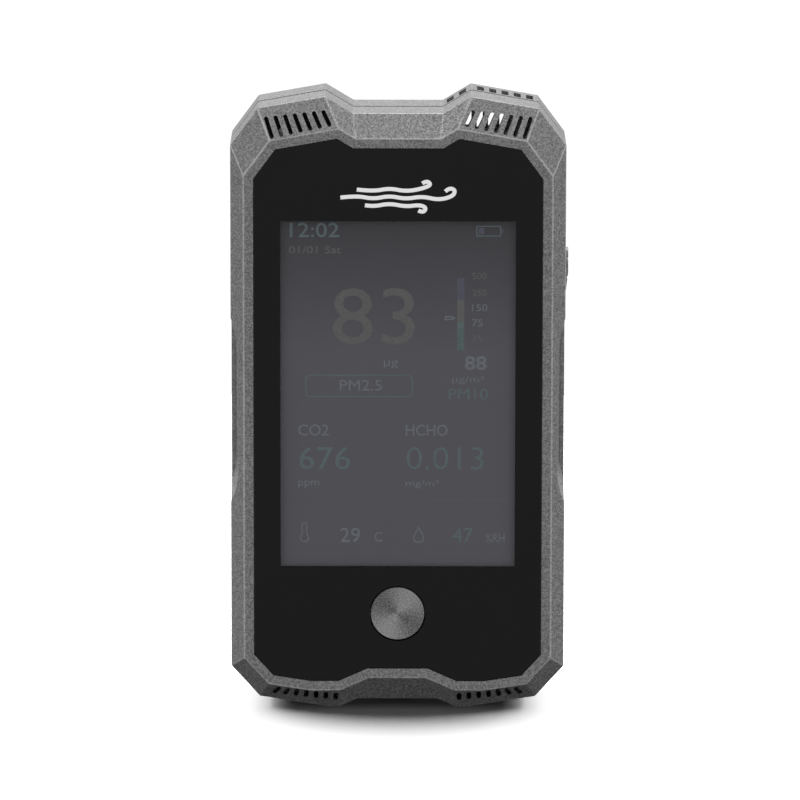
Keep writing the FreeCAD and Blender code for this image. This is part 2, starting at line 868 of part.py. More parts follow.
def sound_holes():
    """A ring of six holes and one in the middle, behind the buzzer."""
    middle = (-S.buzzer_across, S.buzzer_up)
    points = [middle]
    for number in range(6):
        angle = number * math.pi / 3
        along = S.sound_hole_pitch * math.cos(angle)
        up = S.sound_hole_pitch * math.sin(angle)
        points.append((middle[0] + along, middle[1] + up))
    return discs(points, S.sound_hole_radius)


def lip_pocket(drawing):
    """Where the cover's lip is left out: beside the finger scoops and round the power key."""
    inner = HALF - S.wall - S.lip_gap - S.lip_thickness - ROOT
    low = S.scoop_middle_height - S.scoop_backing_half - S.lip_gap * 2
    high = S.scoop_middle_height + S.scoop_backing_half + S.lip_gap * 2
    drawing.box(inner, low, HALF - S.wall, high)
    drawing.box(-HALF + S.wall, low, -inner, high)


def rear_cover():
    body = new_body("rear_cover")
    shell_block(body, "cover", toward_front=False)
    shoulder = BACK - S.bevel_depth - S.wall / 2
    cut(body, "cavity", "front", within(S.wall), *behind(S.front_depth, shoulder))
    deep = behind(shoulder - ROOT, COVER_INSIDE)
    cut(body, "deep_cavity", "front", within_rim(S.cover_step), *deep)

    inset = S.wall + S.lip_gap
    root = together(within(S.wall / 2), within(inset + S.lip_thickness))
    add(body, "lip_root", "front", root, *behind(COVER_START, COVER_START + S.lip_height))
    lip = together(within(inset), within(inset + S.lip_thickness))
    add(body, "lip", "front", lip, *behind(COVER_START - S.lip_height, COVER_START + ROOT))
    cut(body, "lip_gaps", "front", lip_pocket, *behind(COVER_START - S.lip_height - PAST, COVER_START))

    add(body, "bosses", "front", discs(BOSSES, S.cover_boss_radius), *behind(BEZEL_END, COVER_INSIDE + ROOT))
    head_floor = BACK - S.screw_head_sink - S.screw_head_height
    holes = discs(BOSSES, S.screw_radius + S.screw_gap)
    cut(body, "screw_holes", "front", holes, *behind(BEZEL_END - PAST, BACK + PAST))
    heads = discs(BOSSES, S.screw_head_radius + S.screw_gap)
    cut(body, "screw_head_seats", "front", heads, *behind(head_floor, BACK + PAST))

    high = S.case_height + PAST
    cut(body, "top_vents", "top", top_vents, high - S.top_vent_reach, high)
    cut(body, "back_vents", "front", back_vents, *behind(COVER_INSIDE - S.bevel_depth, BACK + PAST))
    cut(body, "sound_holes", "front", sound_holes(), *behind(COVER_INSIDE - PAST, BACK + PAST))
    label = box(-S.label_width / 2, S.label_low_edge, S.label_width / 2, S.label_low_edge + S.label_length)
    cut(body, "label_recess", "front", label, *behind(BACK - S.label_recess, BACK + PAST))

    room = S.key_flange + S.key_half_width + S.key_gap * 2
    long_room = S.key_half_length + S.key_flange + S.key_gap * 2
    y = KEY_MIDDLE[0]
    flange_room = box(y - room, KEY_MIDDLE[1] - long_room, y + room, KEY_MIDDLE[1] + long_room)
    inner = HALF - S.wall - S.lip_gap - S.lip_thickness - ROOT
    cut(body, "key_room", "side", flange_room, inner, HALF - S.wall)
    cut(body, "key_hole", "side", key_drawing(S.key_gap), inner, HALF + PAST)


# ---------------------------------------------------------------- glass and display


def front_glass():
    body = layer("front_glass", within_rim(S.rim_width + S.glass_gap), S.glass_recess, GLASS_BACK)
    hole = discs([HOME], S.home_radius + S.home_gap)
    cut(body, "home_hole", "front", hole, *behind(S.glass_recess - PAST, GLASS_BACK + PAST))


def glass_adhesive():
    inset = S.rim_width + S.glass_gap * 2
    body = layer("glass_adhesive", within_rim(inset), GLASS_BACK, PLATE_FRONT)
    through = behind(GLASS_BACK - PAST, PLATE_FRONT + PAST)
    cut(body, "window", "front", window(S.window_gap * 2), *through)
    cut(body, "home_hole", "front", discs([HOME], S.home_radius + S.window_gap * 2), *through)


def display_outline():
    return box(-S.display_width / 2, S.display_low_edge, S.display_width / 2, DISPLAY_TOP)


def display_foam():
    half = S.display_width / 2
    low = S.display_low_edge + S.foam_width
    high = DISPLAY_TOP - S.foam_width
    left = box(-half, low, -half + S.foam_width, high)
    right = box(half - S.foam_width, low, half, high)
    layer("display_foam", together(left, right), DISPLAY_BACK, BOARD_FRONT)


def display_flex():
    """The ribbon leaves the panel's top edge, folds over and runs down behind it to its socket."""
    body = new_body("display_flex")
    near = PLATE_FRONT + S.flex_start
    middle = near + S.flex_thickness + S.flex_bend_radius
    fold = (row_y(middle), DISPLAY_TOP + S.flex_start)
    sides = (-S.flex_half_width, S.flex_half_width)
    outer = S.flex_bend_radius + S.flex_thickness
    ring = together(discs([fold], S.flex_bend_radius), discs([fold], outer))
    add(body, "fold", "side", ring, *sides)
    reach = outer + ROOT
    lower_half = box(fold[0] - reach, fold[1] - reach, fold[0] + reach, fold[1])
    cut(body, "open_fold", "side", lower_half, *sides)
    y = row_y(near)
    add(body, "short_leg", "side", box(y, DISPLAY_TOP, y + S.flex_thickness, fold[1]), *sides)
    y = fold[0] + S.flex_bend_radius
    long_leg = box(y, DISPLAY_TOP - S.flex_drop, y + S.flex_thickness, fold[1])
    add(body, "long_leg", "side", long_leg, *sides)


def display_socket():
    """The ribbon's socket on the board: the ribbon's end lies in a slit along its front."""
    body = new_body("display_socket")
    near = PLATE_FRONT + S.flex_start + S.flex_thickness + S.flex_bend_radius * 2
    top = DISPLAY_TOP - S.flex_drop + S.flex_socket_overlap
    half = S.flex_half_width + PAST
    block = box(-half, top - S.flex_socket_length, half, top)
    add(body, "block", "front", block, *behind(near - S.flex_thickness, BOARD_FRONT))
    slit = box(-S.flex_half_width, top - S.flex_socket_overlap, S.flex_half_width, top + PAST)
    cut(body, "slit", "front", slit, *behind(near, near + S.flex_thickness))


# ---------------------------------------------------------------- home button


def home_button():
    """A spun metal disc in the glass's hole, with a flange behind the bezel's plate and a short stem."""
    body = new_body("home_button")
    flange = PLATE_BACK + S.home_slack
    stem_end = BOARD_FRONT - S.home_switch_height - S.home_pin_height - S.pin_gap
    flange_back = stem_end - S.home_stem_length
    front = S.glass_recess + S.home_sink
    add(body, "disc", "front", discs([HOME], S.home_radius), *behind(front, flange))
    add(body, "flange", "front", discs([HOME], S.home_radius + S.home_flange), *behind(flange, flange_back))
    add(body, "stem", "front", discs([HOME], S.home_stem_radius), *behind(flange_back, stem_end))


WELL_FLOOR = BOARD_FRONT - S.home_switch_height + S.home_travel + 2 * S.pin_gap


def home_switch():
    side = S.home_switch_side / 2
    square = centred(0, S.home_height, side, side)
    body = layer("home_switch", square, BOARD_FRONT - S.home_switch_height, BOARD_FRONT)
    well = discs([HOME], S.home_pin_radius + S.pin_gap)
    cut(body, "well", "front", well, *behind(BOARD_FRONT - S.home_switch_height - PAST, WELL_FLOOR))


def home_switch_plunger():
    body = new_body("home_switch_plunger")
    tip = BOARD_FRONT - S.home_switch_height - S.home_pin_height
    add(body, "pin", "front", discs([HOME], S.home_pin_radius), *behind(tip, WELL_FLOOR - S.home_travel - S.pin_gap))


# ---------------------------------------------------------------- power key


KEY_MIDDLE = (row_y(COVER_START) + S.key_setback, S.key_middle_height)
KEY_INSIDE = HALF - S.wall - S.key_slack - S.key_flange_thickness
KEY_STEM_END = KEY_INSIDE - S.key_stem_length
KEY_SWITCH_FACE = KEY_STEM_END - S.pin_gap - S.key_pin_height
KEY_BOARD_FACE = KEY_SWITCH_FACE - S.key_switch_thickness
KEY_WELL_FLOOR = KEY_SWITCH_FACE - S.key_travel - S.pin_gap
KEY_GROOVES = (-S.key_groove_low, S.key_groove_high)


def key_drawing(gap):
    """The key's long rounded outline, seen from the side, grown by a gap."""
    y, z = KEY_MIDDLE
    reach = S.key_half_length - S.key_half_width
    return slot((y, z - reach), (y, z + reach), S.key_half_width + gap)


def power_key():
    body = new_body("power_key")
    y, z = KEY_MIDDLE
    out = HALF + S.key_proud
    add(body, "key", "side", key_drawing(0), KEY_INSIDE, out)
    flange = key_drawing(S.key_flange)
    add(body, "flange", "side", flange, KEY_INSIDE, HALF - S.wall - S.key_slack)
    add(body, "stem", "side", centred(y, z, S.key_stem_half, S.key_stem_half), KEY_STEM_END, KEY_INSIDE)
    low = z - S.key_half_length
    corners = [(out + PAST, low - PAST), (out + PAST, low + S.key_taper), (out, low + S.key_taper)]
    corners += [(HALF, low), (HALF, low - PAST)]
    wide = S.key_half_width + S.key_flange + PAST
    cut(body, "taper", "front", polygon(corners), -y - wide, -y + wide)
    grooves = [centred(out, z + up, S.key_groove_depth, S.key_groove_half) for up in KEY_GROOVES]
    cut(body, "grooves", "front", together(*grooves), -y - wide, -y + wide)


def key_switch():
    body = new_body("key_switch")
    y, z = KEY_MIDDLE
    block = centred(y, z, S.key_switch_half_width, S.key_switch_half_length)
    add(body, "block", "side", block, KEY_BOARD_FACE, KEY_SWITCH_FACE)
    side = S.key_pin_half + S.pin_gap
    cut(body, "well", "side", centred(y, z, side, side), KEY_WELL_FLOOR, KEY_SWITCH_FACE + PAST)


def key_switch_plunger():
    body = new_body("key_switch_plunger")
    y, z = KEY_MIDDLE
    pin = centred(y, z, S.key_pin_half, S.key_pin_half)
    add(body, "pin", "side", pin, KEY_WELL_FLOOR + S.key_travel, KEY_STEM_END - S.pin_gap)


def key_board():
    """A small board standing on the main one, which holds the power key's switch."""
    body = new_body("key_board")
    z = KEY_MIDDLE[1]
    half = S.key_board_half_length
    standing = box(row_y(BOARD_BACK), z - half, row_y(BOARD_BACK) + S.key_board_reach, z + half)
    add(body, "board", "side", standing, KEY_BOARD_FACE - S.key_board_thickness, KEY_BOARD_FACE)


# ---------------------------------------------------------------- fasteners


def case_inserts():
    ring = together(discs(BOSSES, S.insert_radius), discs(BOSSES, S.insert_bore))
    layer("case_inserts", ring, BEZEL_END - S.insert_length, BEZEL_END)


def case_screws():
    head_back = BACK - S.screw_head_sink
    head_front = head_back - S.screw_head_height
    body = layer("case_screws", discs(BOSSES, S.screw_head_radius), head_front, head_back)
    shank = behind(BEZEL_END - S.screw_bite, head_front)
    add(body, "shanks", "front", discs(BOSSES, S.screw_radius), *shank)
    socket = behind(head_back - S.screw_socket_depth, head_back + PAST)
    cut(body, "sockets", "front", discs(BOSSES, S.screw_socket_radius), *socket)


def board_screws():
    head_back = BOARD_BACK + S.board_screw_head_height
    body = layer("board_screws", discs(BOARD_POSTS, S.board_screw_head_radius), BOARD_BACK, head_back)
    shank = behind(BOARD_FRONT - S.board_screw_bite, BOARD_BACK)
    add(body, "shanks", "front", discs(BOARD_POSTS, S.board_screw_radius), *shank)
    slots = [centred(x, z, S.board_screw_radius, S.board_screw_gap) for x, z in BOARD_POSTS]
    slot_depth = behind(head_back - S.board_screw_slot_depth, head_back + PAST)
    cut(body, "slots", "front", together(*slots), *slot_depth)


# ---------------------------------------------------------------- main board and what stands on it


def main_board():
    """One board behind the display, with a tab up into the top notch and one down to the port."""
    half = HALF - S.board_side_gap
    tab = S.board_tab_half
    port = S.port_tab_half
    corners = [
        (port, S.port_tab_edge),
        (port, S.board_low_edge),
        (half - S.low_corner_in, S.board_low_edge),
        (half, S.board_low_edge + S.low_corner_in),
        (half, BOARD_TOP),
        (tab, BOARD_TOP),
        (tab, S.case_height - S.board_tab_top_drop),
    ]
    corners += [(-x, z) for x, z in reversed(corners)]
    body = layer("main_board", polygon(corners), BOARD_FRONT, BOARD_BACK)
    through = behind(BOARD_FRONT - PAST, BOARD_BACK + PAST)
    notches = discs(BOSSES[0::2], S.boss_radius + S.board_boss_gap)
    cut(body, "boss_notches", "front", notches, *through)
    holes = discs(BOARD_POSTS, S.board_screw_radius + S.board_screw_gap)
    cut(body, "screw_holes", "front", holes, *through)


def on_board_back(name, draw, height):
    return layer(name, draw, BOARD_BACK, BOARD_BACK + height)


def usb_socket():
    """A stamped shell, open downwards, round a thin contact tongue."""
    body = new_body("usb_socket")
    half = S.socket_width / 2
    near = row_y(BOARD_BACK)
    far = near + S.socket_height
    low = S.low_notch_rise + S.socket_setback
    high = low + S.socket_length
    add(body, "shell", "top", box(-half, near, half, far), low, high)
    skin = S.socket_wall
    mouth = box(-half + skin, near + skin, half - skin, far - skin)
    cut(body, "mouth", "top", mouth, low - PAST, high - S.socket_back_wall)
    middle = (near + far) / 2
    tongue = centred(0, middle, S.socket_tongue_half, S.socket_tongue_thickness / 2)
    add(body, "tongue", "top", tongue, low + S.socket_setback, high - S.socket_back_wall + S.socket_wall)


def buzzer():
    spot = [(-S.buzzer_across, S.buzzer_up)]
    body = on_board_back("buzzer", discs(spot, S.buzzer_radius), S.buzzer_height)
    end = BOARD_BACK + S.buzzer_height
    cut(body, "port", "front", discs(spot, S.buzzer_port_radius), *behind(end - PAST, end + PAST))


def small_components():
    chip = centred(S.chip_across, S.chip_height, S.chip_half, S.chip_half)
    on_board_back("microcontroller", chip, S.chip_thickness)
    coil = centred(S.coil_across, S.coil_height, S.coil_half, S.coil_half)
    on_board_back("power_inductor", coil, S.coil_thickness)
    climate = centred(S.climate_across, S.climate_height, S.climate_half, S.climate_half)
    layer("climate_sensor", climate, BOARD_FRONT - S.climate_thickness, BOARD_FRONT)


# ---------------------------------------------------------------- battery

BATTERY_FRONT = BOARD_BACK + S.tape_thickness
BATTERY_RIGHT = S.battery_left + S.battery_width
BATTERY_TOP = S.battery_low_edge + S.battery_length
PLUG_LOW = S.battery_socket_low_edge + S.battery_socket_length
PLUG_TOP = PLUG_LOW + S.plug_length
PLUG_MIDDLE = BOARD_BACK + S.battery_socket_height / 2


def battery():
    sides = box(S.battery_left, S.battery_low_edge, BATTERY_RIGHT, BATTERY_TOP)
    body = layer("battery", sides, BATTERY_FRONT, BATTERY_FRONT + S.battery_thickness)

    def upright(edge):
        return abs(edge.Vertexes[0].Z - edge.Vertexes[-1].Z) > 1.0

    soften(body, "rounded_sides", S.battery_edge_radius, upright)


def battery_tape():
    inset = S.tape_inset
    area = box(
        S.battery_left + inset, S.battery_low_edge + inset, BATTERY_RIGHT - inset, BATTERY_TOP - inset
    )
    on_board_back("battery_tape", area, S.tape_thickness)


def battery_socket():
    low = S.battery_socket_low_edge
    half = S.battery_socket_half_width
    on_board_back("battery_socket", box(-half, low, half, PLUG_LOW), S.battery_socket_height)


def battery_plug():
    near = PLUG_MIDDLE - S.plug_thickness / 2
    half = S.plug_half_width
    layer("battery_plug", box(-half, PLUG_LOW, half, PLUG_TOP), near, near + S.plug_thickness)


def lead_path(start, end):
    """A shallow S in the side plane: straight down, across between two equal bends, straight down."""

    def draw(drawing):
        radius = S.lead_bend_radius.value
        y0, z0 = start[0].value, (start[1] - S.lead_end).value
        y1, z1 = end[0].value, (end[1] + S.lead_end).value
        shift = y0 - y1
        drop = z0 - z1
        root = math.sqrt(drop**2 - 4 * radius * shift + shift**2)
        turn = 2 * math.atan((drop - root) / (4 * radius - shift))
        across = radius * (1 - math.cos(turn))
        down = radius * math.sin(turn)
        first = drawing.line((y0, start[1].value), (y0, z0))
        upper = drawing.arc(y0 - radius, z0, radius, -turn, 0)
        second = drawing.line((y0 - across, z0 - down), (y1 + across, z1 + down))
        lower = drawing.arc(y1 + radius, z1, radius, math.pi - turn, math.pi)
        third = drawing.line((y1, z1), (y1, end[1].value))
        joints = [(first, 2, upper, 2), (upper, 1, second, 1), (second, 2, lower, 1), (lower, 2, third, 1)]
        for joint in joints:
            drawing.rule("Tangent", *joint)
        for bend in (upper, lower):
            drawing.rule("Radius", bend, size=S.lead_bend_radius)
        drawing.place(first, 1, *start)
        drawing.place(first, 2, start[0], start[1] - S.lead_end)
        drawing.place(third, 1, end[0], end[1] + S.lead_end)
        drawing.place(third, 2, *end)

    return draw


def battery_lead(name, x):
    """One lead, from the battery's lower edge down to the plug."""
    body = new_body(name)
    start = (row_y(BOARD_BACK + S.lead_height), S.battery_low_edge)
    end = (row_y(PLUG_MIDDLE), PLUG_TOP)
    path = new_sketch(body, f"{name}_path", "side", x, lead_path(start, end))
    section = new_sketch(body, f"{name}_section", "top", start[1], discs([(x, start[0])], S.lead_radius))
    doc.recompute()
    wire = body.newObject("PartDesign::AdditivePipe", f"{name}_wire")
    wire.Profile = section
    wire.Spine = path
    doc.recompute()


# ---------------------------------------------------------------- particle sensor

DUST_FRONT = BOARD_BACK + S.dust_standoff
DUST_BACK = DUST_FRONT + S.dust_thickness
DUST_RIGHT = S.dust_left + S.dust_width
DUST_TOP = S.dust_low_edge + S.dust_length
DUST_FLOOR = DUST_FRONT + S.dust_wall
FAN = (S.dust_left + S.fan_left, S.dust_low_edge + S.fan_up)
FAN_FRONT = DUST_FLOOR + S.fan_base_thickness + S.fan_run_gap


def dust_sensor_case():
    """A shallow tray that opens backwards, with an air inlet in its top edge."""
    sides = box(S.dust_left, S.dust_low_edge, DUST_RIGHT, DUST_TOP)
    body = layer("dust_sensor_case", sides, DUST_FRONT, DUST_BACK)
    skin = S.dust_wall
    hollow = box(S.dust_left + skin, S.dust_low_edge + skin, DUST_RIGHT - skin, DUST_TOP - skin)
    cut(body, "hollow", "front", hollow, *behind(DUST_FLOOR, DUST_BACK + PAST))
    y = row_y((DUST_FRONT + DUST_BACK) / 2)
    inlet = centred(S.dust_inlet_middle, y, S.dust_inlet_half, S.dust_inlet_half / 2)
    cut(body, "inlet", "top", inlet, DUST_TOP - S.dust_wall - ROOT, DUST_TOP + PAST)


def dust_sensor_lid():
    sides = box(S.dust_left, S.dust_low_edge, DUST_RIGHT, DUST_TOP)
    body = layer("dust_sensor_lid", sides, DUST_BACK, DUST_BACK + S.dust_lid_thickness)
    through = behind(DUST_BACK - PAST, DUST_BACK + S.dust_lid_thickness + PAST)
    cut(body, "outlet", "front", discs([FAN], S.dust_lid_hole), *through)


def dust_header():
    half = S.dust_header_half
    middle = S.dust_left + half * 2
    low = S.dust_low_edge + S.dust_wall
    area = box(middle - half, low, middle + half, low + S.dust_header_width)
    layer("dust_header", area, BOARD_BACK, DUST_FRONT)


def fan_stator():
    base_back = DUST_FLOOR + S.fan_base_thickness
    body = layer("fan_stator", discs([FAN], S.fan_base_radius), DUST_FLOOR, base_back)
    end = FAN_FRONT + S.fan_thickness - S.fan_shaft_over
    add(body, "shaft", "front", discs([FAN], S.fan_shaft_radius), *behind(base_back, end))


def fan_rotor():
    """A hub that turns on the stator's shaft, with straight blades round it."""
    body = new_body("fan_rotor")
    low, high = behind(FAN_FRONT, FAN_FRONT + S.fan_thickness)
    add(body, "hub", "front", discs([(0, 0)], S.fan_hub_radius), low, high, FAN)
    blade = box(S.fan_hub_radius - ROOT, -S.fan_blade_thickness / 2, S.fan_radius, S.fan_blade_thickness / 2)
    add(body, "blade", "front", blade, low, high, FAN)
    first_blade = body.Tip
    pattern = body.newObject("PartDesign::PolarPattern", "blades")
    pattern.Originals = [first_blade]
    pattern.Axis = (first_blade.Profile[0], ["N_Axis"])
    pattern.Angle = 360.0
    bind(pattern, "Occurrences", S.fan_blade_count)
    body.Tip = pattern
    doc.recompute()
    bore = S.fan_shaft_radius + S.fan_shaft_gap
    end = low + S.fan_shaft_over - S.fan_run_gap
    cut(body, "bore", "front", discs([FAN], bore), end, high + PAST)


def laser_diode():
    body = new_body("laser_diode")
    left = S.dust_left + S.dust_wall + S.laser_left
    y = row_y(DUST_FLOOR + S.laser_radius)
    spot = [(y, S.dust_low_edge + S.laser_up)]
    add(body, "can", "side", discs(spot, S.laser_radius), left, left + S.laser_length)


def optics_board():
    left = S.dust_left + S.dust_wall + S.optics_left
    low = S.dust_low_edge + S.dust_wall + S.optics_up
    area = box(left, low, left + S.optics_width, low + S.optics_length)
    layer("optics_board", area, DUST_FLOOR, DUST_FLOOR + S.optics_thickness)


# ---------------------------------------------------------------- gas sensors


def carbon_dioxide_sensor():
    """An infrared cell on its own small board, which stands on two rows of pins."""
    left, low = S.carbon_left, S.carbon_low_edge
    right, high = left + S.carbon_width, low + S.carbon_length
    board_front = BOARD_BACK + S.carbon_standoff
    board_back = board_front + S.carbon_board_thickness
    layer("carbon_board", box(left, low, right, high), board_front, board_back)
    edge = S.carbon_edge
    top = high - edge
    cell = box(left + edge, top - S.carbon_body_length, right - edge, top)
    end = board_back + S.carbon_thickness
    layer("carbon_dioxide_sensor", cell, board_back, end)
    middle = (left + right) / 2
    area = centred(middle, top - S.carbon_body_length / 2, S.membrane_width / 2, S.membrane_length / 2)
    layer("carbon_membrane", area, end, end + S.membrane_thickness)
    half = S.carbon_header_half
    width = S.carbon_header_width
    lower = box(middle - half, low + edge, middle + half, low + edge + width)
    upper = box(middle - half, top - width, middle + half, top)
    on_board_back("carbon_pins", together(lower, upper), S.carbon_standoff)


def gas_board_parts():
    left = GAS_ACROSS - S.gas_board_half
    right = GAS_ACROSS + S.gas_board_half
    low = GAS_UP - S.gas_board_down
    gas_back = GAS_FRONT + S.gas_board_thickness
    layer("gas_board", box(left, low, right, GAS_UP + S.gas_board_up), GAS_FRONT, gas_back)
    can = discs([(GAS_ACROSS, GAS_UP)], S.gas_radius)
    layer("formaldehyde_sensor", can, GAS_FRONT - S.gas_height, GAS_FRONT)


def gas_lead():
    """A flat lead from the main board's back, then up the back of the gas sensor's board."""
    body = new_body("gas_lead")
    thick = S.gas_lead_thickness
    low = BOARD_TOP - S.gas_lead_overlap / 2
    far = row_y(GAS_FRONT + S.gas_board_thickness)
    sides = (GAS_ACROSS - S.gas_lead_half, GAS_ACROSS + S.gas_lead_half)
    add(body, "floor", "side", box(row_y(BOARD_BACK), low, far + thick, low + thick), *sides)
    high = GAS_UP - S.gas_board_down + S.gas_lead_overlap
    add(body, "riser", "side", box(far, low, far + thick, high), *sides)


def under_roof(slope, away):
    """How high foam may reach under the bezel's sloping top, so far away from the peak of its lobe.

    The slanted wall is a little less thick, measured upright, than wall * (1 + slope * slope / 2).
    """
    return S.case_height - away * slope - S.wall * (1 + slope * slope / 2) - S.filter_gap


def air_filter():
    """Foam behind the left upper vents, which covers them and fits under the lobe's two slopes."""
    reach = S.high_vent_lean + S.vent_radius + S.filter_gap
    outer = HALF - S.high_vent_side + reach
    inner = S.high_vent_inner - reach
    low = GAS_UP + S.filter_rise
    lobe = S.high_lobe_drop / (HALF - S.high_corner_in - S.high_lobe_half)
    shoulder = S.high_notch_drop / (S.high_lobe_half - S.high_notch_half)
    corners = [
        (-outer, low),
        (-inner, low),
        (-inner, under_roof(shoulder, S.high_lobe_half - inner)),
        (-S.high_lobe_half, under_roof(shoulder, 0)),
        (-outer, under_roof(lobe, outer - S.high_lobe_half)),
    ]
    end = PLATE_BACK + S.filter_thickness
    body = layer("air_filter", polygon(corners), PLATE_BACK, end)
    hole = discs(GAS_POSTS[:1], S.gas_post_radius + S.filter_gap)
    cut(body, "post_hole", "front", hole, *behind(PLATE_BACK - PAST, end + PAST))


def vent_mesh(name, side):
    """A strip of black mesh behind one group of lower vents, shaped to the bezel's floor."""
    lift = S.wall + S.mesh_gap
    high = S.mesh_high_edge
    corners = [
        (S.foot_half, lift),
        (S.foot_half + S.foot_width, lift),
        (HALF - S.low_corner_in - S.wall, S.low_corner_rise + lift),
        (HALF - S.low_corner_in - S.wall, high),
        (S.foot_half, high),
    ]
    corners = [(side * x, z) for x, z in corners]
    layer(name, polygon(corners), PLATE_BACK, PLATE_BACK + S.mesh_thickness)


def rear_label():
    gap = S.label_gap
    half = S.label_width / 2 - gap
    area = box(-half, S.label_low_edge + gap, half, S.label_low_edge + S.label_length - gap)
    floor = BACK - S.label_recess
    layer("rear_label", area, floor, floor + S.label_thickness)


# ---------------------------------------------------------------- build, check and write

front_bezel()
rear_cover()
front_glass()
glass_adhesive()
layer("display_panel", display_outline(), PLATE_FRONT, PANEL_BACK)
layer("display_backlight", display_outline(), PANEL_BACK, DISPLAY_BACK)
display_foam()
display_flex()
display_socket()
home_button()
home_switch()
home_switch_plunger()
power_key()
key_switch()
key_switch_plunger()
key_board()
case_inserts()
case_screws()
board_screws()
main_board()
usb_socket()
buzzer()
small_components()
battery()
battery_tape()
battery_socket()
battery_plug()
battery_lead("battery_lead_red", -S.lead_gap)
battery_lead("battery_lead_black", S.lead_gap)
dust_sensor_case()
dust_sensor_lid()
dust_header()
fan_stator()
fan_rotor()
laser_diode()
optics_board()
carbon_dioxide_sensor()
gas_board_parts()
gas_lead()
air_filter()
vent_mesh("vent_mesh_left", -1)
vent_mesh("vent_mesh_right", 1)
rear_label()

doc.recompute()
for thing in doc.Objects:
    if "Invalid" in thing.State or "Error" in thing.State:
        raise ValueError(f"{thing.Name} did not build: {thing.State}")
for body in bodies:
    if body.Shape.isNull() or not body.Shape.isValid() or not body.Shape.Solids:
        raise ValueError(f"{body.Label} has no valid solid")

os.makedirs(PARTS_FOLDER, exist_ok=True)
for body in bodies:
    body.Shape.exportStep(f"{PARTS_FOLDER}/{body.Label}.step")
    print(f"{body.Label}: {body.Shape.Volume:.1f} mm3 in {len(body.Shape.Solids)} solid(s)")
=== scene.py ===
import math

import bmesh
import bpy
from mathutils import Matrix, Vector
from mathutils.bvhtree import BVHTree


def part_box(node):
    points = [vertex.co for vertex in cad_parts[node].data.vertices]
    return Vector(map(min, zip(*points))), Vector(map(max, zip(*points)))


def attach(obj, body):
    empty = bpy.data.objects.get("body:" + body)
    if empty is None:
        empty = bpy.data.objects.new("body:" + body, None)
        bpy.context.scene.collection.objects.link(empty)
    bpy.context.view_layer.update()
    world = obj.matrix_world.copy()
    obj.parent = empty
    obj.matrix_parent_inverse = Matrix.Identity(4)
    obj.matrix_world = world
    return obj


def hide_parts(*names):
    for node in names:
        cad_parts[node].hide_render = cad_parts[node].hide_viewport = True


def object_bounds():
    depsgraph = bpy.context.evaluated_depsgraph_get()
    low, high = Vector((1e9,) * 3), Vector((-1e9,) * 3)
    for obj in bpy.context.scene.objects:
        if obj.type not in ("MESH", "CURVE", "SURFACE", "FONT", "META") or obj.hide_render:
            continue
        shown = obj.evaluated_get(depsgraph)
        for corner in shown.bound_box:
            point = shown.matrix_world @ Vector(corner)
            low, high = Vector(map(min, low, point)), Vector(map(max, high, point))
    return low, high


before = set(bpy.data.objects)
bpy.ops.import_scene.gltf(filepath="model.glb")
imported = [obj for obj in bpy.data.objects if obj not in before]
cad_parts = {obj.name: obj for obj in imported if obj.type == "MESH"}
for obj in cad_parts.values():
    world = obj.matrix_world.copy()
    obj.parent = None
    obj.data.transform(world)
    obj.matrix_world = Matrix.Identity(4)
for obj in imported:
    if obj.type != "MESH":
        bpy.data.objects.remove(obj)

cad_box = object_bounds()
MM = 0.001

# ---- Front bezel
# The front half of the case, one thin moulding in hard plastic with fine metallic silver-grey paint.
# Its facets meet in softly rounded ridges, and its flat rim frames the glass.

RIDGE_ROUND = 0.2 * MM
# Faces rounded over a ridge get a painted highlight: their paint colour is raised by up to this gain, less
# where they face far up or down.
RIDGE_HIGHLIGHT_GAIN = 2.1
RIDGE_HIGHLIGHT_FADE_UPWARDS = (1.9, -3.0)
RIDGE_HIGHLIGHT_FADE_DOWNWARDS = (1.0, 2.5)
LEAST_RIDGE = 2.5 * MM
LEAST_RIDGE_ANGLE = math.radians(12)
FLAT_WITHIN = math.radians(0.6)
JOIN_WITHIN = 0.001 * MM
SKIN_CLEARANCE = 0.02 * MM
PAINT_SILVER = (0.50, 0.50, 0.505)
PAINT_METALLIC = 0.9
PAINT_ROUGHNESS = (0.38, 0.47)
FLAKES_PER_METRE = 4000
FLAKE_SHADES = (0.62, 1.42)
FLAKE_TILT = 0.16
# The dark line along the joint: bare plastic left in the gap, and painted shade on a band wider than the
# gap on the faces beside it.
SEAM_HALF = 0.45 * MM
SEAM_REACH = 34.1 * MM
BARE_PLASTIC_AND_SEAM_SHADE = (0.02, 0.02, 0.02)


def new_finish(name, colour, roughness, metallic=0.0, **shader_values):
    """A material with one Principled shader, its plain values set on the shader's own sockets."""
    material = bpy.data.materials.new(name)
    material.use_nodes = True
    shader = material.node_tree.nodes["Principled BSDF"]
    shader.inputs["Base Color"].default_value = (*colour, 1)
    shader.inputs["Roughness"].default_value = roughness
    shader.inputs["Metallic"].default_value = metallic
    for socket, value in shader_values.items():
        shader.inputs[socket.replace("_", " ")].default_value = value
    return material


def add_node(material, kind, inputs=None, **settings):
    """One shader node; each of its inputs is given as another node's output or as a plain value."""
    made = material.node_tree.nodes.new("ShaderNode" + kind)
    for key, value in settings.items():
        setattr(made, key, value)
    for key, value in (inputs or {}).items():
        if isinstance(value, bpy.types.NodeSocket):
            material.node_tree.links.new(value, made.inputs[key])
        else:
            made.inputs[key].default_value = value
    return made


def into_shader(material, socket, source):
    shader = material.node_tree.nodes["Principled BSDF"]
    material.node_tree.links.new(source, shader.inputs[socket])


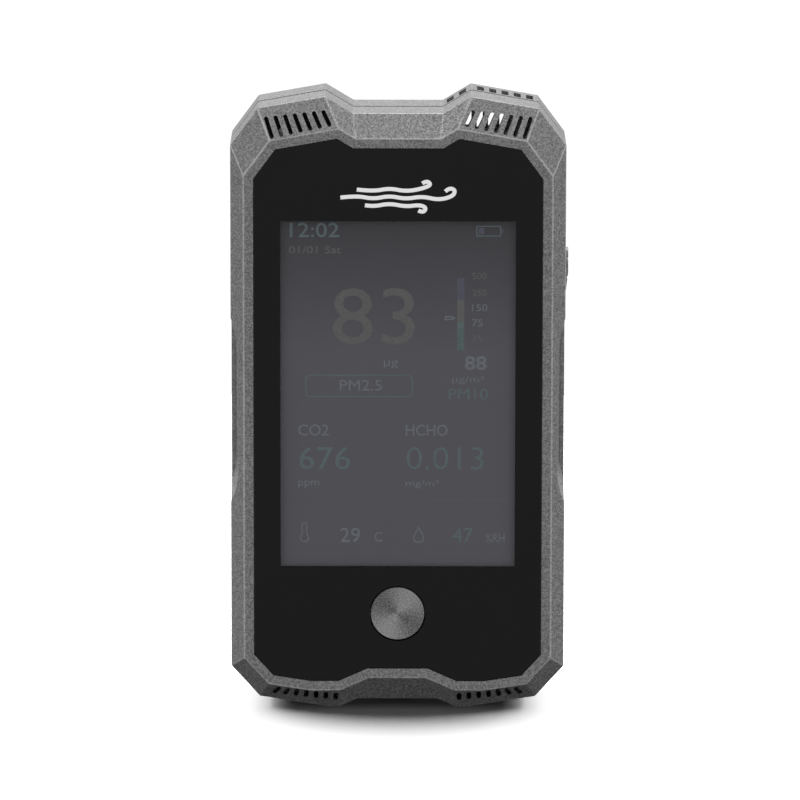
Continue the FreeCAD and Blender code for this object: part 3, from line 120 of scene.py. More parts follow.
def own_place(material, centre=(0, 0, 0), turn=(0, 0, 0), stretch=(1, 1, 1)):
    """A point's place on the piece, measured from a centre and turned or stretched."""
    place = add_node(material, "TexCoord").outputs["Object"]
    inputs = {"Vector": place, "Location": centre, "Rotation": turn, "Scale": stretch}
    return add_node(material, "Mapping", inputs, vector_type="TEXTURE").outputs["Vector"]


def noise(material, scale, detail=2.0, place=None):
    place = place or own_place(material)
    inputs = {"Vector": place, "Scale": scale, "Detail": detail}
    return add_node(material, "TexNoise", inputs).outputs["Fac"]


def cells(material, scale, output="Distance", place=None):
    place = place or own_place(material)
    return add_node(material, "TexVoronoi", {"Vector": place, "Scale": scale}).outputs[output]


def shades(material, source, dark, light, low=0.3, high=0.7):
    """Base colour from dark to light as the source goes from low to high."""
    ramp = add_node(material, "ValToRGB", {"Fac": source})
    for element, place, colour in zip(ramp.color_ramp.elements, (low, high), (dark, light)):
        element.position = place
        element.color = (*colour, 1)
    into_shader(material, "Base Color", ramp.outputs["Color"])


def roughness_between(material, source, least, most, low=0.3, high=0.7):
    inputs = {"Value": source, "From Min": low, "From Max": high, "To Min": least, "To Max": most}
    into_shader(material, "Roughness", add_node(material, "MapRange", inputs).outputs["Result"])


def relief(material, source, height, strength=1.0):
    bump = add_node(material, "Bump", {"Height": source, "Distance": height, "Strength": strength})
    into_shader(material, "Normal", bump.outputs["Normal"])


def times(colour, share):
    return tuple(part * share for part in colour)


def flake_paint(name, colour):
    """Metallic paint: tiny flat flakes, each a little brighter or darker and tilted its own way.

    It takes a painted highlight where the mesh marks a ridge, and is left off along the mouldings' joint,
    where bare plastic and a band of painted shade make a dark line.
    """
    material = new_finish(name, colour, 0.42, PAINT_METALLIC, Coat_Weight=0.08, Coat_Roughness=0.35)
    flake = cells(material, FLAKES_PER_METRE, "Color")
    parts = add_node(material, "SeparateColor", {"Color": flake})
    spots = add_node(material, "ValToRGB", {"Fac": parts.outputs["Red"]})
    for element, share in zip(spots.color_ramp.elements, FLAKE_SHADES):
        element.color = (*times(colour, share), 1)
    # The painted ridge highlight: the mesh's ridge attribute raises the paint's colour.
    ridge_highlight = add_node(material, "Attribute", attribute_name="ridge").outputs["Fac"]
    highlight_gain = add_node(material, "MapRange", {"Value": ridge_highlight, "To Min": 1.0, "To Max": RIDGE_HIGHLIGHT_GAIN})
    inputs = {0: spots.outputs["Color"], "Scale": highlight_gain.outputs["Result"]}
    painted = add_node(material, "VectorMath", inputs, operation="SCALE").outputs["Vector"]
    place = add_node(material, "SeparateXYZ", {"Vector": own_place(material)}).outputs
    # Bare plastic in the joint's gap, widened into a band of painted shade along the joint.
    beside = {0: place["Y"], 1: 0.0, 2: SEAM_HALF}
    along = {0: place["X"], 1: 0.0, 2: SEAM_REACH}
    near = add_node(material, "Math", beside, operation="COMPARE").outputs[0]
    within = add_node(material, "Math", along, operation="COMPARE").outputs[0]
    joint_and_seam_shade = add_node(material, "Math", {0: near, 1: within}, operation="MULTIPLY").outputs[0]
    inputs = {"Fac": joint_and_seam_shade, "Color1": painted, "Color2": (*BARE_PLASTIC_AND_SEAM_SHADE, 1)}
    into_shader(material, "Base Color", add_node(material, "MixRGB", inputs).outputs["Color"])
    roughness_between(material, noise(material, 900), *PAINT_ROUGHNESS)
    centred = add_node(material, "VectorMath", {0: flake, 1: (0.5, 0.5, 0.5)}, operation="SUBTRACT")
    inputs = {0: centred.outputs["Vector"], "Scale": FLAKE_TILT}
    tilted = add_node(material, "VectorMath", inputs, operation="SCALE")
    facing = add_node(material, "NewGeometry").outputs["Normal"]
    summed = add_node(material, "VectorMath", {0: facing, 1: tilted.outputs["Vector"]}, operation="ADD")
    unit = add_node(material, "VectorMath", {0: summed.outputs["Vector"]}, operation="NORMALIZE")
    into_shader(material, "Normal", unit.outputs["Vector"])
    return material


def finished_piece(mesh, name, material, body):
    """Turns a bmesh into an object that rides on a CAD body and takes its finish from a slot."""
    data = bpy.data.meshes.new(name)
    mesh.to_mesh(data)
    mesh.free()
    data.materials.append(material)
    piece = bpy.data.objects.new(name, data)
    bpy.context.scene.collection.objects.link(piece)
    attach(piece, body)
    return piece


def merged_copy(node):
    """A copy of a CAD node's mesh, with its loose triangles joined up."""
    mesh = bmesh.new()
    mesh.from_mesh(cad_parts[node].data)
    bmesh.ops.remove_doubles(mesh, verts=mesh.verts, dist=JOIN_WITHIN)
    return mesh


def flat_areas_whole(mesh):
    """Makes each flat area a single face again."""
    bmesh.ops.dissolve_limit(
        mesh, angle_limit=FLAT_WITHIN, verts=mesh.verts, edges=mesh.edges, delimit=set()
    )


def sharp_over(mesh, degrees):
    """Smooth faces, with the edges that turn by more than an angle left sharp."""
    for face in mesh.faces:
        face.smooth = True
    for edge in mesh.edges:
        edge.smooth = len(edge.link_faces) == 2 and edge.calc_face_angle() < math.radians(degrees)


def mark_skin(mesh):
    """Marks the faces of the outside: what leaves them straight meets nothing else."""
    layer = mesh.faces.layers.int.new("skin")
    tree = BVHTree.FromBMesh(mesh)
    for face in mesh.faces:
        start = face.calc_center_median() + face.normal * SKIN_CLEARANCE
        face[layer] = int(tree.ray_cast(start, face.normal)[0] is None)
    return layer


def ridge_highlight_share(face):
    """How much of the painted ridge highlight a rounded face takes: less where it faces far up or down."""
    fades = [start + slope * face.normal.z for start, slope in (RIDGE_HIGHLIGHT_FADE_UPWARDS, RIDGE_HIGHLIGHT_FADE_DOWNWARDS)]
    return max(0.0, min(1.0, *fades))


def rounded_moulding(node, name, material, body):
    """A moulding's copy whose outer ridges and creases are rounded over."""
    mesh = merged_copy(node)
    skin = mark_skin(mesh)
    flat_areas_whole(mesh)
    ridge = mesh.faces.layers.float.new("ridge")
    ridges = []
    for edge in mesh.edges:
        both_outside = len(edge.link_faces) == 2 and all(face[skin] for face in edge.link_faces)
        at_joint = all(abs(vertex.co.y) < SEAM_HALF for vertex in edge.verts)
        long_ridge = both_outside and not at_joint and edge.calc_length() > LEAST_RIDGE
        if long_ridge and edge.calc_face_angle() > LEAST_RIDGE_ANGLE:
            ridges.append(edge)
    rounded = bmesh.ops.bevel(
        mesh, geom=ridges, offset=RIDGE_ROUND, offset_type="OFFSET", segments=3, profile=0.5,
        affect="EDGES", clamp_overlap=False, material=-1, loop_slide=True,
    )
    # Each rounded face stores its share of the painted highlight.
    for face in rounded["faces"]:
        face[ridge] = ridge_highlight_share(face)
    mesh.faces.layers.int.remove(mesh.faces.layers.int["skin"])
    sharp_over(mesh, 24)
    piece = finished_piece(mesh, name, material, body)
    weighted = piece.modifiers.new("flat_faces_stay_flat", "WEIGHTED_NORMAL")
    weighted.keep_sharp = True
    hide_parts(node)
    return piece


silver_paint = flake_paint("silver_paint", PAINT_SILVER)
rounded_moulding("front_bezel", "bezel_moulding", silver_paint, "case")

# ---- Glass adhesive
# A die-cut frame of thin black double-sided tape. It is stuck on the bezel's plate, holds the cover
# glass there, and is hidden behind the glass's black print.

TAPE_BLACK = (0.02, 0.02, 0.021)


def dress(node, material):
    """Gives a CAD node its material."""
    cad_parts[node].material_slots[0].material = material


black_tape = new_finish("black_tape", TAPE_BLACK, 0.6)
shades(black_tape, noise(black_tape, 2500), times(TAPE_BLACK, 0.7), times(TAPE_BLACK, 1.5))
relief(black_tape, noise(black_tape, 5000, 3.0), 0.01 * MM, 0.5)
dress("glass_adhesive", black_tape)

# ---- Cover glass
# A 1.1 mm sheet of strengthened glass, ground to the rim's outline and bored for the button.
# Its back is printed black, except for a lightly tinted clear window over the display.

WINDOW_LEFT_IN = 3.05 * MM
WINDOW_LOW_IN = 2.15 * MM
WINDOW_WIDTH = 49.1 * MM
WINDOW_LENGTH = 73.6 * MM
PRINT_BLACK = (0.003, 0.003, 0.0032)
GLASS_REFLECTION = 0.04
GLASS_TINT = (0.845, 0.845, 0.855)

panel_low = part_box("display_panel")[0]
glass_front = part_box("front_glass")[0].y
lit_left = panel_low.x + WINDOW_LEFT_IN
lit_low = panel_low.z + WINDOW_LOW_IN
window_middle = (lit_left + WINDOW_WIDTH / 2, 0, lit_low + WINDOW_LENGTH / 2)

cover_glass = new_finish("cover_glass", PRINT_BLACK, 0.035, Specular_IOR_Level=0.5)
glass_place = own_place(cover_glass, centre=window_middle)
glass_parts = add_node(cover_glass, "SeparateXYZ", {"Vector": glass_place})
inside = []
for axis, half in (("X", WINDOW_WIDTH / 2), ("Z", WINDOW_LENGTH / 2)):
    away = add_node(cover_glass, "Math", {0: glass_parts.outputs[axis]}, operation="ABSOLUTE")
    near = add_node(cover_glass, "Math", {0: away.outputs[0], 1: half}, operation="LESS_THAN")
    inside.append(near.outputs[0])
in_window = add_node(cover_glass, "Math", {0: inside[0], 1: inside[1]}, operation="MULTIPLY").outputs[0]
shades(cover_glass, noise(cover_glass, 40), PRINT_BLACK, times(PRINT_BLACK, 1.3))
roughness_between(cover_glass, noise(cover_glass, 120, 4.0), 0.03, 0.06)
clear = add_node(cover_glass, "BsdfTransparent", {"Color": (*GLASS_TINT, 1)})
shine = add_node(cover_glass, "BsdfGlossy", {"Roughness": 0.03})
edge_on = add_node(cover_glass, "LayerWeight", {"Blend": 0.5}).outputs["Facing"]
steep = add_node(cover_glass, "Math", {0: edge_on, 1: 5.0}, operation="POWER").outputs[0]
mirrored = {0: steep, 1: 1 - GLASS_REFLECTION, 2: GLASS_REFLECTION}
gloss_share = add_node(cover_glass, "Math", mirrored, operation="MULTIPLY_ADD").outputs[0]
pane = add_node(cover_glass, "MixShader", {0: gloss_share, 1: clear.outputs[0], 2: shine.outputs[0]})
printed_glass = cover_glass.node_tree.nodes["Principled BSDF"].outputs[0]
whole = add_node(cover_glass, "MixShader", {0: in_window, 1: printed_glass, 2: pane.outputs[0]})
output = cover_glass.node_tree.nodes["Material Output"]
cover_glass.node_tree.links.new(whole.outputs[0], output.inputs["Surface"])
dress("front_glass", cover_glass)

# ---- Air-flow sign
# A small generic sign of three drifting lines of air, screen-printed in white ink on the front of the
# glass, above the display. The ink has a faint painted glow, so that it reads brighter than its light makes
# it.

SIGN_ABOVE_WINDOW = 5.1 * MM
INK_THICKNESS = 0.03 * MM
SIGN_STROKE = 0.44 * MM
INK_WHITE = (0.82, 0.82, 0.81)
INK_PAINTED_GLOW = 0.48
AIR_LINES = [
    [(-8.6, 1.6), (-5.2, 1.2), (-1.8, 1.9), (1.6, 1.2), (5.0, 1.8), (6.9, 2.6), (6.0, 3.5), (5.0, 2.9)],
    [(-12.0, -0.1), (-8.6, 0.3), (-5.2, -0.4), (-1.8, 0.3), (1.6, -0.4), (5.0, 0.2), (8.4, -0.6),
     (11.4, 0.2), (11.9, 1.5), (10.6, 2.0), (9.8, 1.2)],
    [(-6.9, -1.7), (-5.2, -2.0), (-1.8, -1.3), (1.6, -2.0), (4.4, -1.6), (5.9, -2.2), (5.2, -3.3),
     (4.2, -2.8)],
]


def mesh_of(curve_data, name):
    """The mesh that a curve or text makes, with the curve itself removed."""
    maker = bpy.data.objects.new(name, curve_data)
    bpy.context.scene.collection.objects.link(maker)
    bpy.context.view_layer.update()
    shape = maker.evaluated_get(bpy.context.evaluated_depsgraph_get())
    data = bpy.data.meshes.new_from_object(shape)
    bpy.data.objects.remove(maker)
    return data


# The white ink with a faint painted glow.
glowing_white_ink = new_finish("glowing_white_ink", INK_WHITE, 0.35, Emission_Strength=INK_PAINTED_GLOW)
shades(glowing_white_ink, noise(glowing_white_ink, 3000), times(INK_WHITE, 0.95), INK_WHITE)
relief(glowing_white_ink, noise(glowing_white_ink, 6000), 0.004 * MM, 0.4)
sign_curve = bpy.data.curves.new("air_lines", "CURVE")
sign_curve.dimensions = "3D"
sign_curve.bevel_depth = SIGN_STROKE
sign_curve.bevel_resolution = 3
sign_curve.use_fill_caps = True
for route in AIR_LINES:
    line = sign_curve.splines.new("NURBS")
    line.points.add(len(route) - 1)
    for point, (across, up) in zip(line.points, route):
        point.co = (across * MM, 0, up * MM, 1)
    line.order_u = 3
    line.use_endpoint_u = True
    line.resolution_u = 8
sign_data = mesh_of(sign_curve, "air_lines_maker")
sign = bmesh.new()
sign.from_mesh(sign_data)
bpy.data.meshes.remove(sign_data)
sign_up = window_middle[2] + WINDOW_LENGTH / 2 + SIGN_ABOVE_WINDOW
bmesh.ops.scale(sign, vec=(1, INK_THICKNESS / (2 * SIGN_STROKE), 1), verts=sign.verts)
bmesh.ops.translate(sign, vec=(0, glass_front - INK_THICKNESS / 4, sign_up), verts=sign.verts)
bmesh.ops.remove_doubles(sign, verts=sign.verts, dist=1e-7)
bmesh.ops.recalc_face_normals(sign, faces=sign.faces)
finished_piece(sign, "air_flow_sign", glowing_white_ink, "case")

# ---- Display panel
# A 3.5 inch liquid crystal cell. Seen with its light turned low it is a flat grey with a violet cast,
# a little darker towards the top.

PANEL_DARK = (0.24, 0.24, 0.26)
PANEL_LIGHT = (0.50, 0.49, 0.54)
DOTS_PER_METRE = 6536

panel = new_finish("display_cell", PANEL_LIGHT, 0.5, Specular_IOR_Level=0.2)
panel_parts = add_node(panel, "SeparateXYZ", {"Vector": own_place(panel, centre=window_middle)})
height_share = {"Value": panel_parts.outputs["Z"], "From Min": -WINDOW_LENGTH / 2,
                "From Max": WINDOW_LENGTH / 2, "To Min": 1.0, "To Max": 0.0}
down_share = add_node(panel, "MapRange", height_share).outputs["Result"]
shades(panel, down_share, PANEL_DARK, PANEL_LIGHT, 0.0, 0.38)
dot_rows = add_node(panel, "TexWave", {"Vector": own_place(panel), "Scale": DOTS_PER_METRE / 2})
roughness_between(panel, dot_rows.outputs["Fac"], 0.45, 0.55, 0.0, 1.0)
dress("display_panel", panel)

# ---- Display readouts
# What the display shows: generic figures, units and gas names in dim grey-green, a scale with a pointer,
# a battery sign, a thermometer and a drop. Each is a skin of lit dots on the cell's front.

READOUT_LIFT = 0.03 * MM
FRAME_LINE, SIGN_LINE, POINTER_LINE = 0.24, 0.22, 0.3
PALE_DOTS = (0.78, 0.85, 0.91)
TEAL_DOTS = (0.56, 0.74, 0.74)
DIM_DOTS = (0.60, 0.60, 0.57)
BLUE_DOTS = (0.46, 0.47, 0.60)
GREEN_DOTS = (0.46, 0.68, 0.63)

readout = bmesh.new()
readout_y = panel_low.y - READOUT_LIFT


def into_readout(data, ink):
    """Adds a mesh, made in the X-Z plane from the lit area's low left corner, to the readout."""
    shape = bmesh.new()
    shape.from_mesh(data)
    bpy.data.meshes.remove(data)
    for face in shape.faces:
        face.material_index = ink
        if face.normal.y > 0:
            face.normal_flip()
    bmesh.ops.translate(shape, vec=(lit_left, readout_y, lit_low), verts=shape.verts)
    moved = bpy.data.meshes.new("readout_part")
    shape.to_mesh(moved)
    shape.free()
    readout.from_mesh(moved)
    bpy.data.meshes.remove(moved)


def figures(words, left, low, width, height, ink, weight=0.0):
    """Words fitted between a left and low edge, in millimetres on the lit area."""
    text = bpy.data.curves.new("figures", "FONT")
    text.body = words
    text.offset = weight
    text.resolution_u = 3
    data = mesh_of(text, "figures_maker")
    across = [vertex.co.x for vertex in data.vertices]
    up = [vertex.co.y for vertex in data.vertices]
    stretch_x = width * MM / (max(across) - min(across))
    stretch_z = height * MM / (max(up) - min(up))
    for vertex in data.vertices:
        x = left * MM + (vertex.co.x - min(across)) * stretch_x
        z = low * MM + (vertex.co.y - min(up)) * stretch_z
        vertex.co = (x, 0, z)
    into_readout(data, ink)


def patch(left, low, width, height, ink):
    """A plain lit rectangle, in millimetres on the lit area."""
    shape = bmesh.new()
    corners = [(left, low), (left + width, low), (left + width, low + height), (left, low + height)]
    shape.faces.new([shape.verts.new((x * MM, 0, z * MM)) for x, z in corners])
    shape.normal_update()
    data = bpy.data.meshes.new("patch")
    shape.to_mesh(data)
    shape.free()
    into_readout(data, ink)


def outline(points, stroke, ink):
    """A closed thin line through points, in millimetres on the lit area."""
    shape = bmesh.new()
    loop = [shape.verts.new((x * MM, 0, z * MM)) for x, z in points]
    face = shape.faces.new(loop)
    shape.normal_update()
    bmesh.ops.inset_individual(shape, faces=[face], thickness=stroke * MM, use_even_offset=True)
    bmesh.ops.delete(shape, geom=[face], context="FACES")
    data = bpy.data.meshes.new("outline")
    shape.to_mesh(data)
    shape.free()
    into_readout(data, ink)


def rounded(left, low, width, height, radius, steps=4):
    """The corners of a rounded rectangle."""
    points = []
    centres = [(left + width - radius, low + radius), (left + width - radius, low + height - radius),
               (left + radius, low + height - radius), (left + radius, low + radius)]
    for quarter, (x, z) in enumerate(centres):
        for step in range(steps + 1):
            angle = math.radians(90 * (quarter - 1 + step / steps))
            points.append((x + radius * math.cos(angle), z + radius * math.sin(angle)))
    return points


PALE, TEAL, DIM, BLUE, GREEN = range(5)
# Each: the words, their left and low edges, their width and height, their ink and their extra weight.
WORDS = [
    ("12:02", 2.0, 70.0, 10.3, 3.1, TEAL, 0.006),
    ("01/01 Sat", 1.8, 66.6, 10.9, 1.6, DIM, 0.006),
    ("83", 10.9, 47.3, 17.2, 12.0, DIM, 0.0),
    ("µg", 21.6, 42.3, 3.0, 1.6, PALE, 0.0),
    ("PM2.5", 12.4, 37.5, 8.8, 2.3, PALE, 0.0),
    ("500", 40.0, 61.2, 3.0, 1.4, DIM, 0.0),
    ("250", 40.0, 57.6, 3.0, 1.4, DIM, 0.0),
    ("150", 40.0, 54.4, 3.2, 1.5, PALE, 0.0),
    ("75", 40.0, 51.2, 2.2, 1.5, PALE, 0.0),
    ("35", 40.0, 48.0, 2.2, 1.4, DIM, 0.0),
    ("88", 38.5, 41.9, 4.6, 3.0, PALE, 0.02),
    ("µg/m³", 35.9, 38.9, 6.6, 1.7, PALE, 0.0),
    ("PM10", 35.2, 35.6, 8.2, 2.4, TEAL, 0.0),
    ("CO2", 3.7, 27.9, 6.4, 2.4, PALE, 0.006),
    ("HCHO", 26.2, 27.9, 8.8, 2.4, PALE, 0.006),
    ("676", 3.9, 20.7, 10.7, 4.8, TEAL, 0.0),
    ("0.013", 26.4, 20.7, 16.1, 4.8, TEAL, -0.01),
    ("ppm", 3.7, 16.7, 4.4, 1.6, PALE, 0.0),
    ("mg/m³", 26.2, 16.7, 6.9, 1.7, PALE, 0.0),
    ("29", 12.5, 5.1, 4.2, 3.1, PALE, 0.004),
    ("C", 19.7, 5.2, 1.6, 2.1, PALE, 0.0),
    ("47", 36.1, 5.1, 4.2, 3.1, TEAL, 0.0),
    ("%RH", 43.0, 5.1, 4.0, 1.9, PALE, 0.0),
]
SCALE_LEFT, SCALE_LOW, SCALE_WIDTH, SCALE_STEP = 36.9, 46.1, 1.5, 1.53
SCALE_INKS = [GREEN] * 3 + [TEAL] + [DIM] * 3 + [BLUE] * 3
POINTER = [(34.3, 52.5), (35.8, 52.5), (36.6, 52.9), (35.8, 53.4), (34.3, 53.4)]
NAME_FRAME = rounded(5.2, 36.1, 22.5, 4.8, 1.0)
BATTERY_SIGN = rounded(40.8, 70.2, 5.2, 2.3, 0.3)
BATTERY_TIP = (46.0, 70.9, 0.45, 0.9)
BATTERY_CHARGE = (41.3, 70.7, 1.2, 1.3)
LEVEL_DIVIDER = (25.6, 14.0, 23.0, 0.12)
UPRIGHT_DIVIDER = (25.0, 2.0, 0.12, 11.0)
DROP = [(28.95, 8.5), (28.1, 7.0), (27.75, 6.1), (27.95, 5.4), (28.5, 5.05), (29.4, 5.05), (29.95, 5.4),
        (30.15, 6.1), (29.8, 7.0)]
BULB = [(4.4, 9.0), (4.4, 6.9), (4.05, 6.3), (4.15, 5.5), (4.7, 5.1), (5.3, 5.1), (5.85, 5.5), (5.95, 6.3),
        (5.6, 6.9), (5.6, 9.0), (5.3, 9.3), (4.7, 9.3)]
for words in WORDS:
    figures(*words)
outline(NAME_FRAME, FRAME_LINE, TEAL)
outline(BATTERY_SIGN, FRAME_LINE, TEAL)
patch(*BATTERY_TIP, BLUE)
patch(*BATTERY_CHARGE, BLUE)
for step, ink in enumerate(SCALE_INKS):
    patch(SCALE_LEFT, SCALE_LOW + step * SCALE_STEP, SCALE_WIDTH, SCALE_STEP, ink)
outline(POINTER, POINTER_LINE, PALE)
patch(*LEVEL_DIVIDER, DIM)
patch(*UPRIGHT_DIVIDER, DIM)
outline(DROP[::-1], SIGN_LINE, PALE)
outline(BULB, SIGN_LINE, PALE)
dot_inks = []
for name, colour in (("pale_dots", PALE_DOTS), ("teal_dots", TEAL_DOTS), ("dim_dots", DIM_DOTS),
                     ("blue_dots", BLUE_DOTS), ("green_dots", GREEN_DOTS)):
    ink = new_finish(name, colour, 0.5, Specular_IOR_Level=0.2)
    shades(ink, cells(ink, DOTS_PER_METRE / 2), times(colour, 0.86), times(colour, 1.1))
    dot_inks.append(ink)
readout_piece = finished_piece(readout, "display_readouts", dot_inks[0], "case")
for ink in dot_inks[1:]:
    readout_piece.data.materials.append(ink)

# ---- Display backlight, foam and ribbon
# Behind the cell: a white moulded tray of light guides, two strips of soft black foam that press it
# forwards, and an amber printed ribbon that folds back to its ivory socket on the board.

TRAY_WHITE = (0.75, 0.75, 0.76)
FOAM_BLACK = (0.03, 0.03, 0.031)
RIBBON_AMBER = (0.55, 0.28, 0.05)
IVORY = (0.78, 0.75, 0.66)


def moulded(name, colour, roughness=0.55, grain=2500):
    """Moulded plastic: a very fine spark-eroded texture and slightly uneven gloss."""
    material = new_finish(name, colour, roughness)
    shades(material, noise(material, grain / 8, 3.0), times(colour, 0.9), times(colour, 1.06))
    roughness_between(material, noise(material, grain / 3), roughness - 0.08, roughness + 0.08)
    relief(material, cells(material, grain), 0.02 * MM, 0.35)
    return material


def foam(name, colour, cell_width):
    """Open foam: dark cells with paler walls between them."""
    material = new_finish(name, colour, 0.95, Sheen_Weight=0.15)
    walls = cells(material, 1 / cell_width)
    shades(material, walls, times(colour, 0.3), times(colour, 2.2), 0.1, 0.7)
    relief(material, walls, 0.3 * cell_width)
    return material


def stripes(material, per_metre, axis, place=None):
    """Straight lines across one axis, for tracks and brushed grain."""
    inputs = {"Vector": place or own_place(material), "Scale": per_metre / 20, "Distortion": 0.0}
    return add_node(material, "TexWave", inputs, bands_direction=axis).outputs["Fac"]


dress("display_backlight", moulded("tray_white", TRAY_WHITE, 0.4))
dress("display_foam", foam("cushion_foam", FOAM_BLACK, 0.35 * MM))
ribbon = new_finish("ribbon_amber", RIBBON_AMBER, 0.35)
shades(ribbon, stripes(ribbon, 10000, "X"), times(RIBBON_AMBER, 0.55), RIBBON_AMBER, 0.35, 0.6)
relief(ribbon, stripes(ribbon, 10000, "X"), 0.02 * MM, 0.6)
dress("display_flex", ribbon)
ivory = moulded("ivory_plastic", IVORY)
dress("display_socket", ivory)

# ---- Home button
# An aluminium disc turned on a lathe, its face left with the tool's fine rings. The two opposite fans of
# light that such rings throw are a painted highlight, set into its colour by the angle around its middle.
# Its edge is chamfered, and a flange behind the plate keeps it in.

BUTTON_METAL = (0.62, 0.61, 0.61)
BUTTON_CHAMFER = 0.18 * MM
BUTTON_DISH = 0.10 * MM
PLATE_THICKNESS = 2.3 * MM
FLANGE_SLACK = 0.06 * MM
FLANGE_REACH = 0.5 * MM
FLANGE_THICKNESS = 0.7 * MM
STEM_RADIUS = 2.0 * MM
# The turn and strength of the painted fan highlight.
RINGS_PER_METRE = 5200
FAN_HIGHLIGHT_TURN = -1.2
FAN_HIGHLIGHT_SHARE = 0.14
TURN_STEPS = 96

button_low, button_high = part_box("home_button")
button_middle = (button_low + button_high) / 2
flange_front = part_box("glass_adhesive")[1].y + PLATE_THICKNESS + FLANGE_SLACK
flange_back = flange_front + FLANGE_THICKNESS
flange_radius = (button_high.x - button_low.x) / 2
face_radius = flange_radius - FLANGE_REACH
profile = [
    (0.0, button_low.y + BUTTON_DISH),
    (face_radius * 0.5, button_low.y + BUTTON_DISH * 0.75),
    (face_radius - BUTTON_CHAMFER, button_low.y),
    (face_radius, button_low.y + BUTTON_CHAMFER),
    (face_radius, flange_front),
    (flange_radius, flange_front),
    (flange_radius, flange_back),
    (STEM_RADIUS, flange_back),
    (STEM_RADIUS, button_high.y),
    (0.0, button_high.y),
]


def turned(profile, centre_x, centre_z):
    """A closed solid of revolution about an axis along Y, from (radius, y) points."""
    mesh = bmesh.new()
    points = [mesh.verts.new((radius, y, 0)) for radius, y in profile]
    for one, other in zip(points, points[1:]):
        mesh.edges.new((one, other))
    bmesh.ops.spin(
        mesh, geom=mesh.verts[:] + mesh.edges[:], cent=(0, 0, 0), axis=(0, 1, 0),
        angle=math.tau, steps=TURN_STEPS, use_merge=True, use_duplicate=False,
    )
    bmesh.ops.remove_doubles(mesh, verts=mesh.verts, dist=0.0001 * MM)
    bmesh.ops.recalc_face_normals(mesh, faces=mesh.faces)
    bmesh.ops.translate(mesh, vec=(centre_x, 0, centre_z), verts=mesh.verts)
    return mesh


button_face = new_finish("turned_aluminium", BUTTON_METAL, 0.4, 1.0, Anisotropic=0.85)
button_place = own_place(button_face, centre=(button_middle.x, 0, button_middle.z))
ring_inputs = {"Vector": button_place, "Scale": RINGS_PER_METRE / 20, "Distortion": 0.0}
rings = add_node(button_face, "TexWave", ring_inputs, wave_type="RINGS", rings_direction="Y").outputs["Fac"]
button_parts = add_node(button_face, "SeparateXYZ", {"Vector": button_place})
# A painted highlight: two opposite bright fans by the angle around the middle, mixed into the base colour.
around = {0: button_parts.outputs["X"], 1: button_parts.outputs["Z"]}
angle = add_node(button_face, "Math", around, operation="ARCTAN2").outputs[0]
twice = add_node(button_face, "Math", {0: angle, 1: 2.0, 2: FAN_HIGHLIGHT_TURN}, operation="MULTIPLY_ADD").outputs[0]
fan_highlights = add_node(button_face, "Math", {0: twice}, operation="COSINE").outputs[0]
grain = noise(button_face, 3600, 3.0)
shared = {0: fan_highlights, 1: FAN_HIGHLIGHT_SHARE, 2: grain}
fan_highlight_tone = add_node(button_face, "Math", shared, operation="MULTIPLY_ADD").outputs[0]
shades(button_face, fan_highlight_tone, times(BUTTON_METAL, 0.35), times(BUTTON_METAL, 1.55), 0.25, 0.75)
round_axis = add_node(button_face, "Tangent", direction_type="RADIAL", axis="Y").outputs["Tangent"]
into_shader(button_face, "Tangent", round_axis)
relief(button_face, rings, 0.008 * MM, 0.35)
button = turned(profile, button_middle.x, button_middle.z)
sharp_over(button, 30)
button_piece = finished_piece(button, "home_button_disc", button_face, "home_key")
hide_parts("home_button")

# ---- Switches under the buttons
# Two tact switches: a square base with a stamped steel cover, and a short black plunger that the
# button's stem presses.

STEEL = (0.56, 0.56, 0.57)
PLUNGER_BLACK = (0.045, 0.045, 0.045)


def brushed(name, colour, roughness=0.35, along="X"):
    """Sheet metal with fine straight rolling marks."""
    material = new_finish(name, colour, roughness, 1.0)
    marks = own_place(material, stretch=(20, 1, 1) if along == "X" else (1, 1, 20))
    lines = noise(material, 4000, 3.0, marks)
    shades(material, lines, times(colour, 0.85), times(colour, 1.1))
    roughness_between(material, lines, roughness - 0.08, roughness + 0.1)
    relief(material, lines, 0.01 * MM, 0.4)
    return material


switch_steel = brushed("switch_steel", STEEL)
plunger_black = moulded("plunger_black", PLUNGER_BLACK, 0.45)
for node in ("home_switch", "key_switch"):
    dress(node, switch_steel)
for node in ("home_switch_plunger", "key_switch_plunger"):
    dress(node, plunger_black)

# ---- Boards
# Glass-fibre boards under green solder mask, with copper tracks showing through as paler lines.
# The sensors' own small boards are made the same way.

MASK_GREEN = (0.018, 0.115, 0.05)
TRACK_GREEN = (0.045, 0.21, 0.09)
TRACKS_PER_METRE = 900

board_green = new_finish("board_green", MASK_GREEN, 0.35, Coat_Weight=0.4, Coat_Roughness=0.15)
track_place = own_place(board_green, turn=(math.radians(90), 0, 0))
track_inputs = {"Vector": track_place, "Scale": TRACKS_PER_METRE, "Mortar Size": 0.07, "Bias": -0.2,
                "Color1": (0, 0, 0, 1), "Color2": (0.25, 0.25, 0.25, 1), "Mortar": (1, 1, 1, 1)}
tracks = add_node(board_green, "TexBrick", track_inputs, offset=0.37, squash=0.6, squash_frequency=3)
shades(board_green, tracks.outputs["Color"], MASK_GREEN, TRACK_GREEN, 0.1, 0.9)
relief(board_green, tracks.outputs["Color"], 0.03 * MM, 0.7)
for node in ("main_board", "key_board", "optics_board", "carbon_board", "gas_board"):
    dress(node, board_green)

# ---- Board screws
# Four small slotted screws of zinc-plated steel. They go through the main board and hold it on the
# bezel's posts.

ZINC = (0.60, 0.60, 0.61)

zinc_plate = new_finish("zinc_plate", ZINC, 0.3, 1.0)
shades(zinc_plate, noise(zinc_plate, 1500, 4.0), times(ZINC, 0.8), times(ZINC, 1.08))
relief(zinc_plate, noise(zinc_plate, 5000, 2.0), 0.01 * MM, 0.4)
dress("board_screws", zinc_plate)

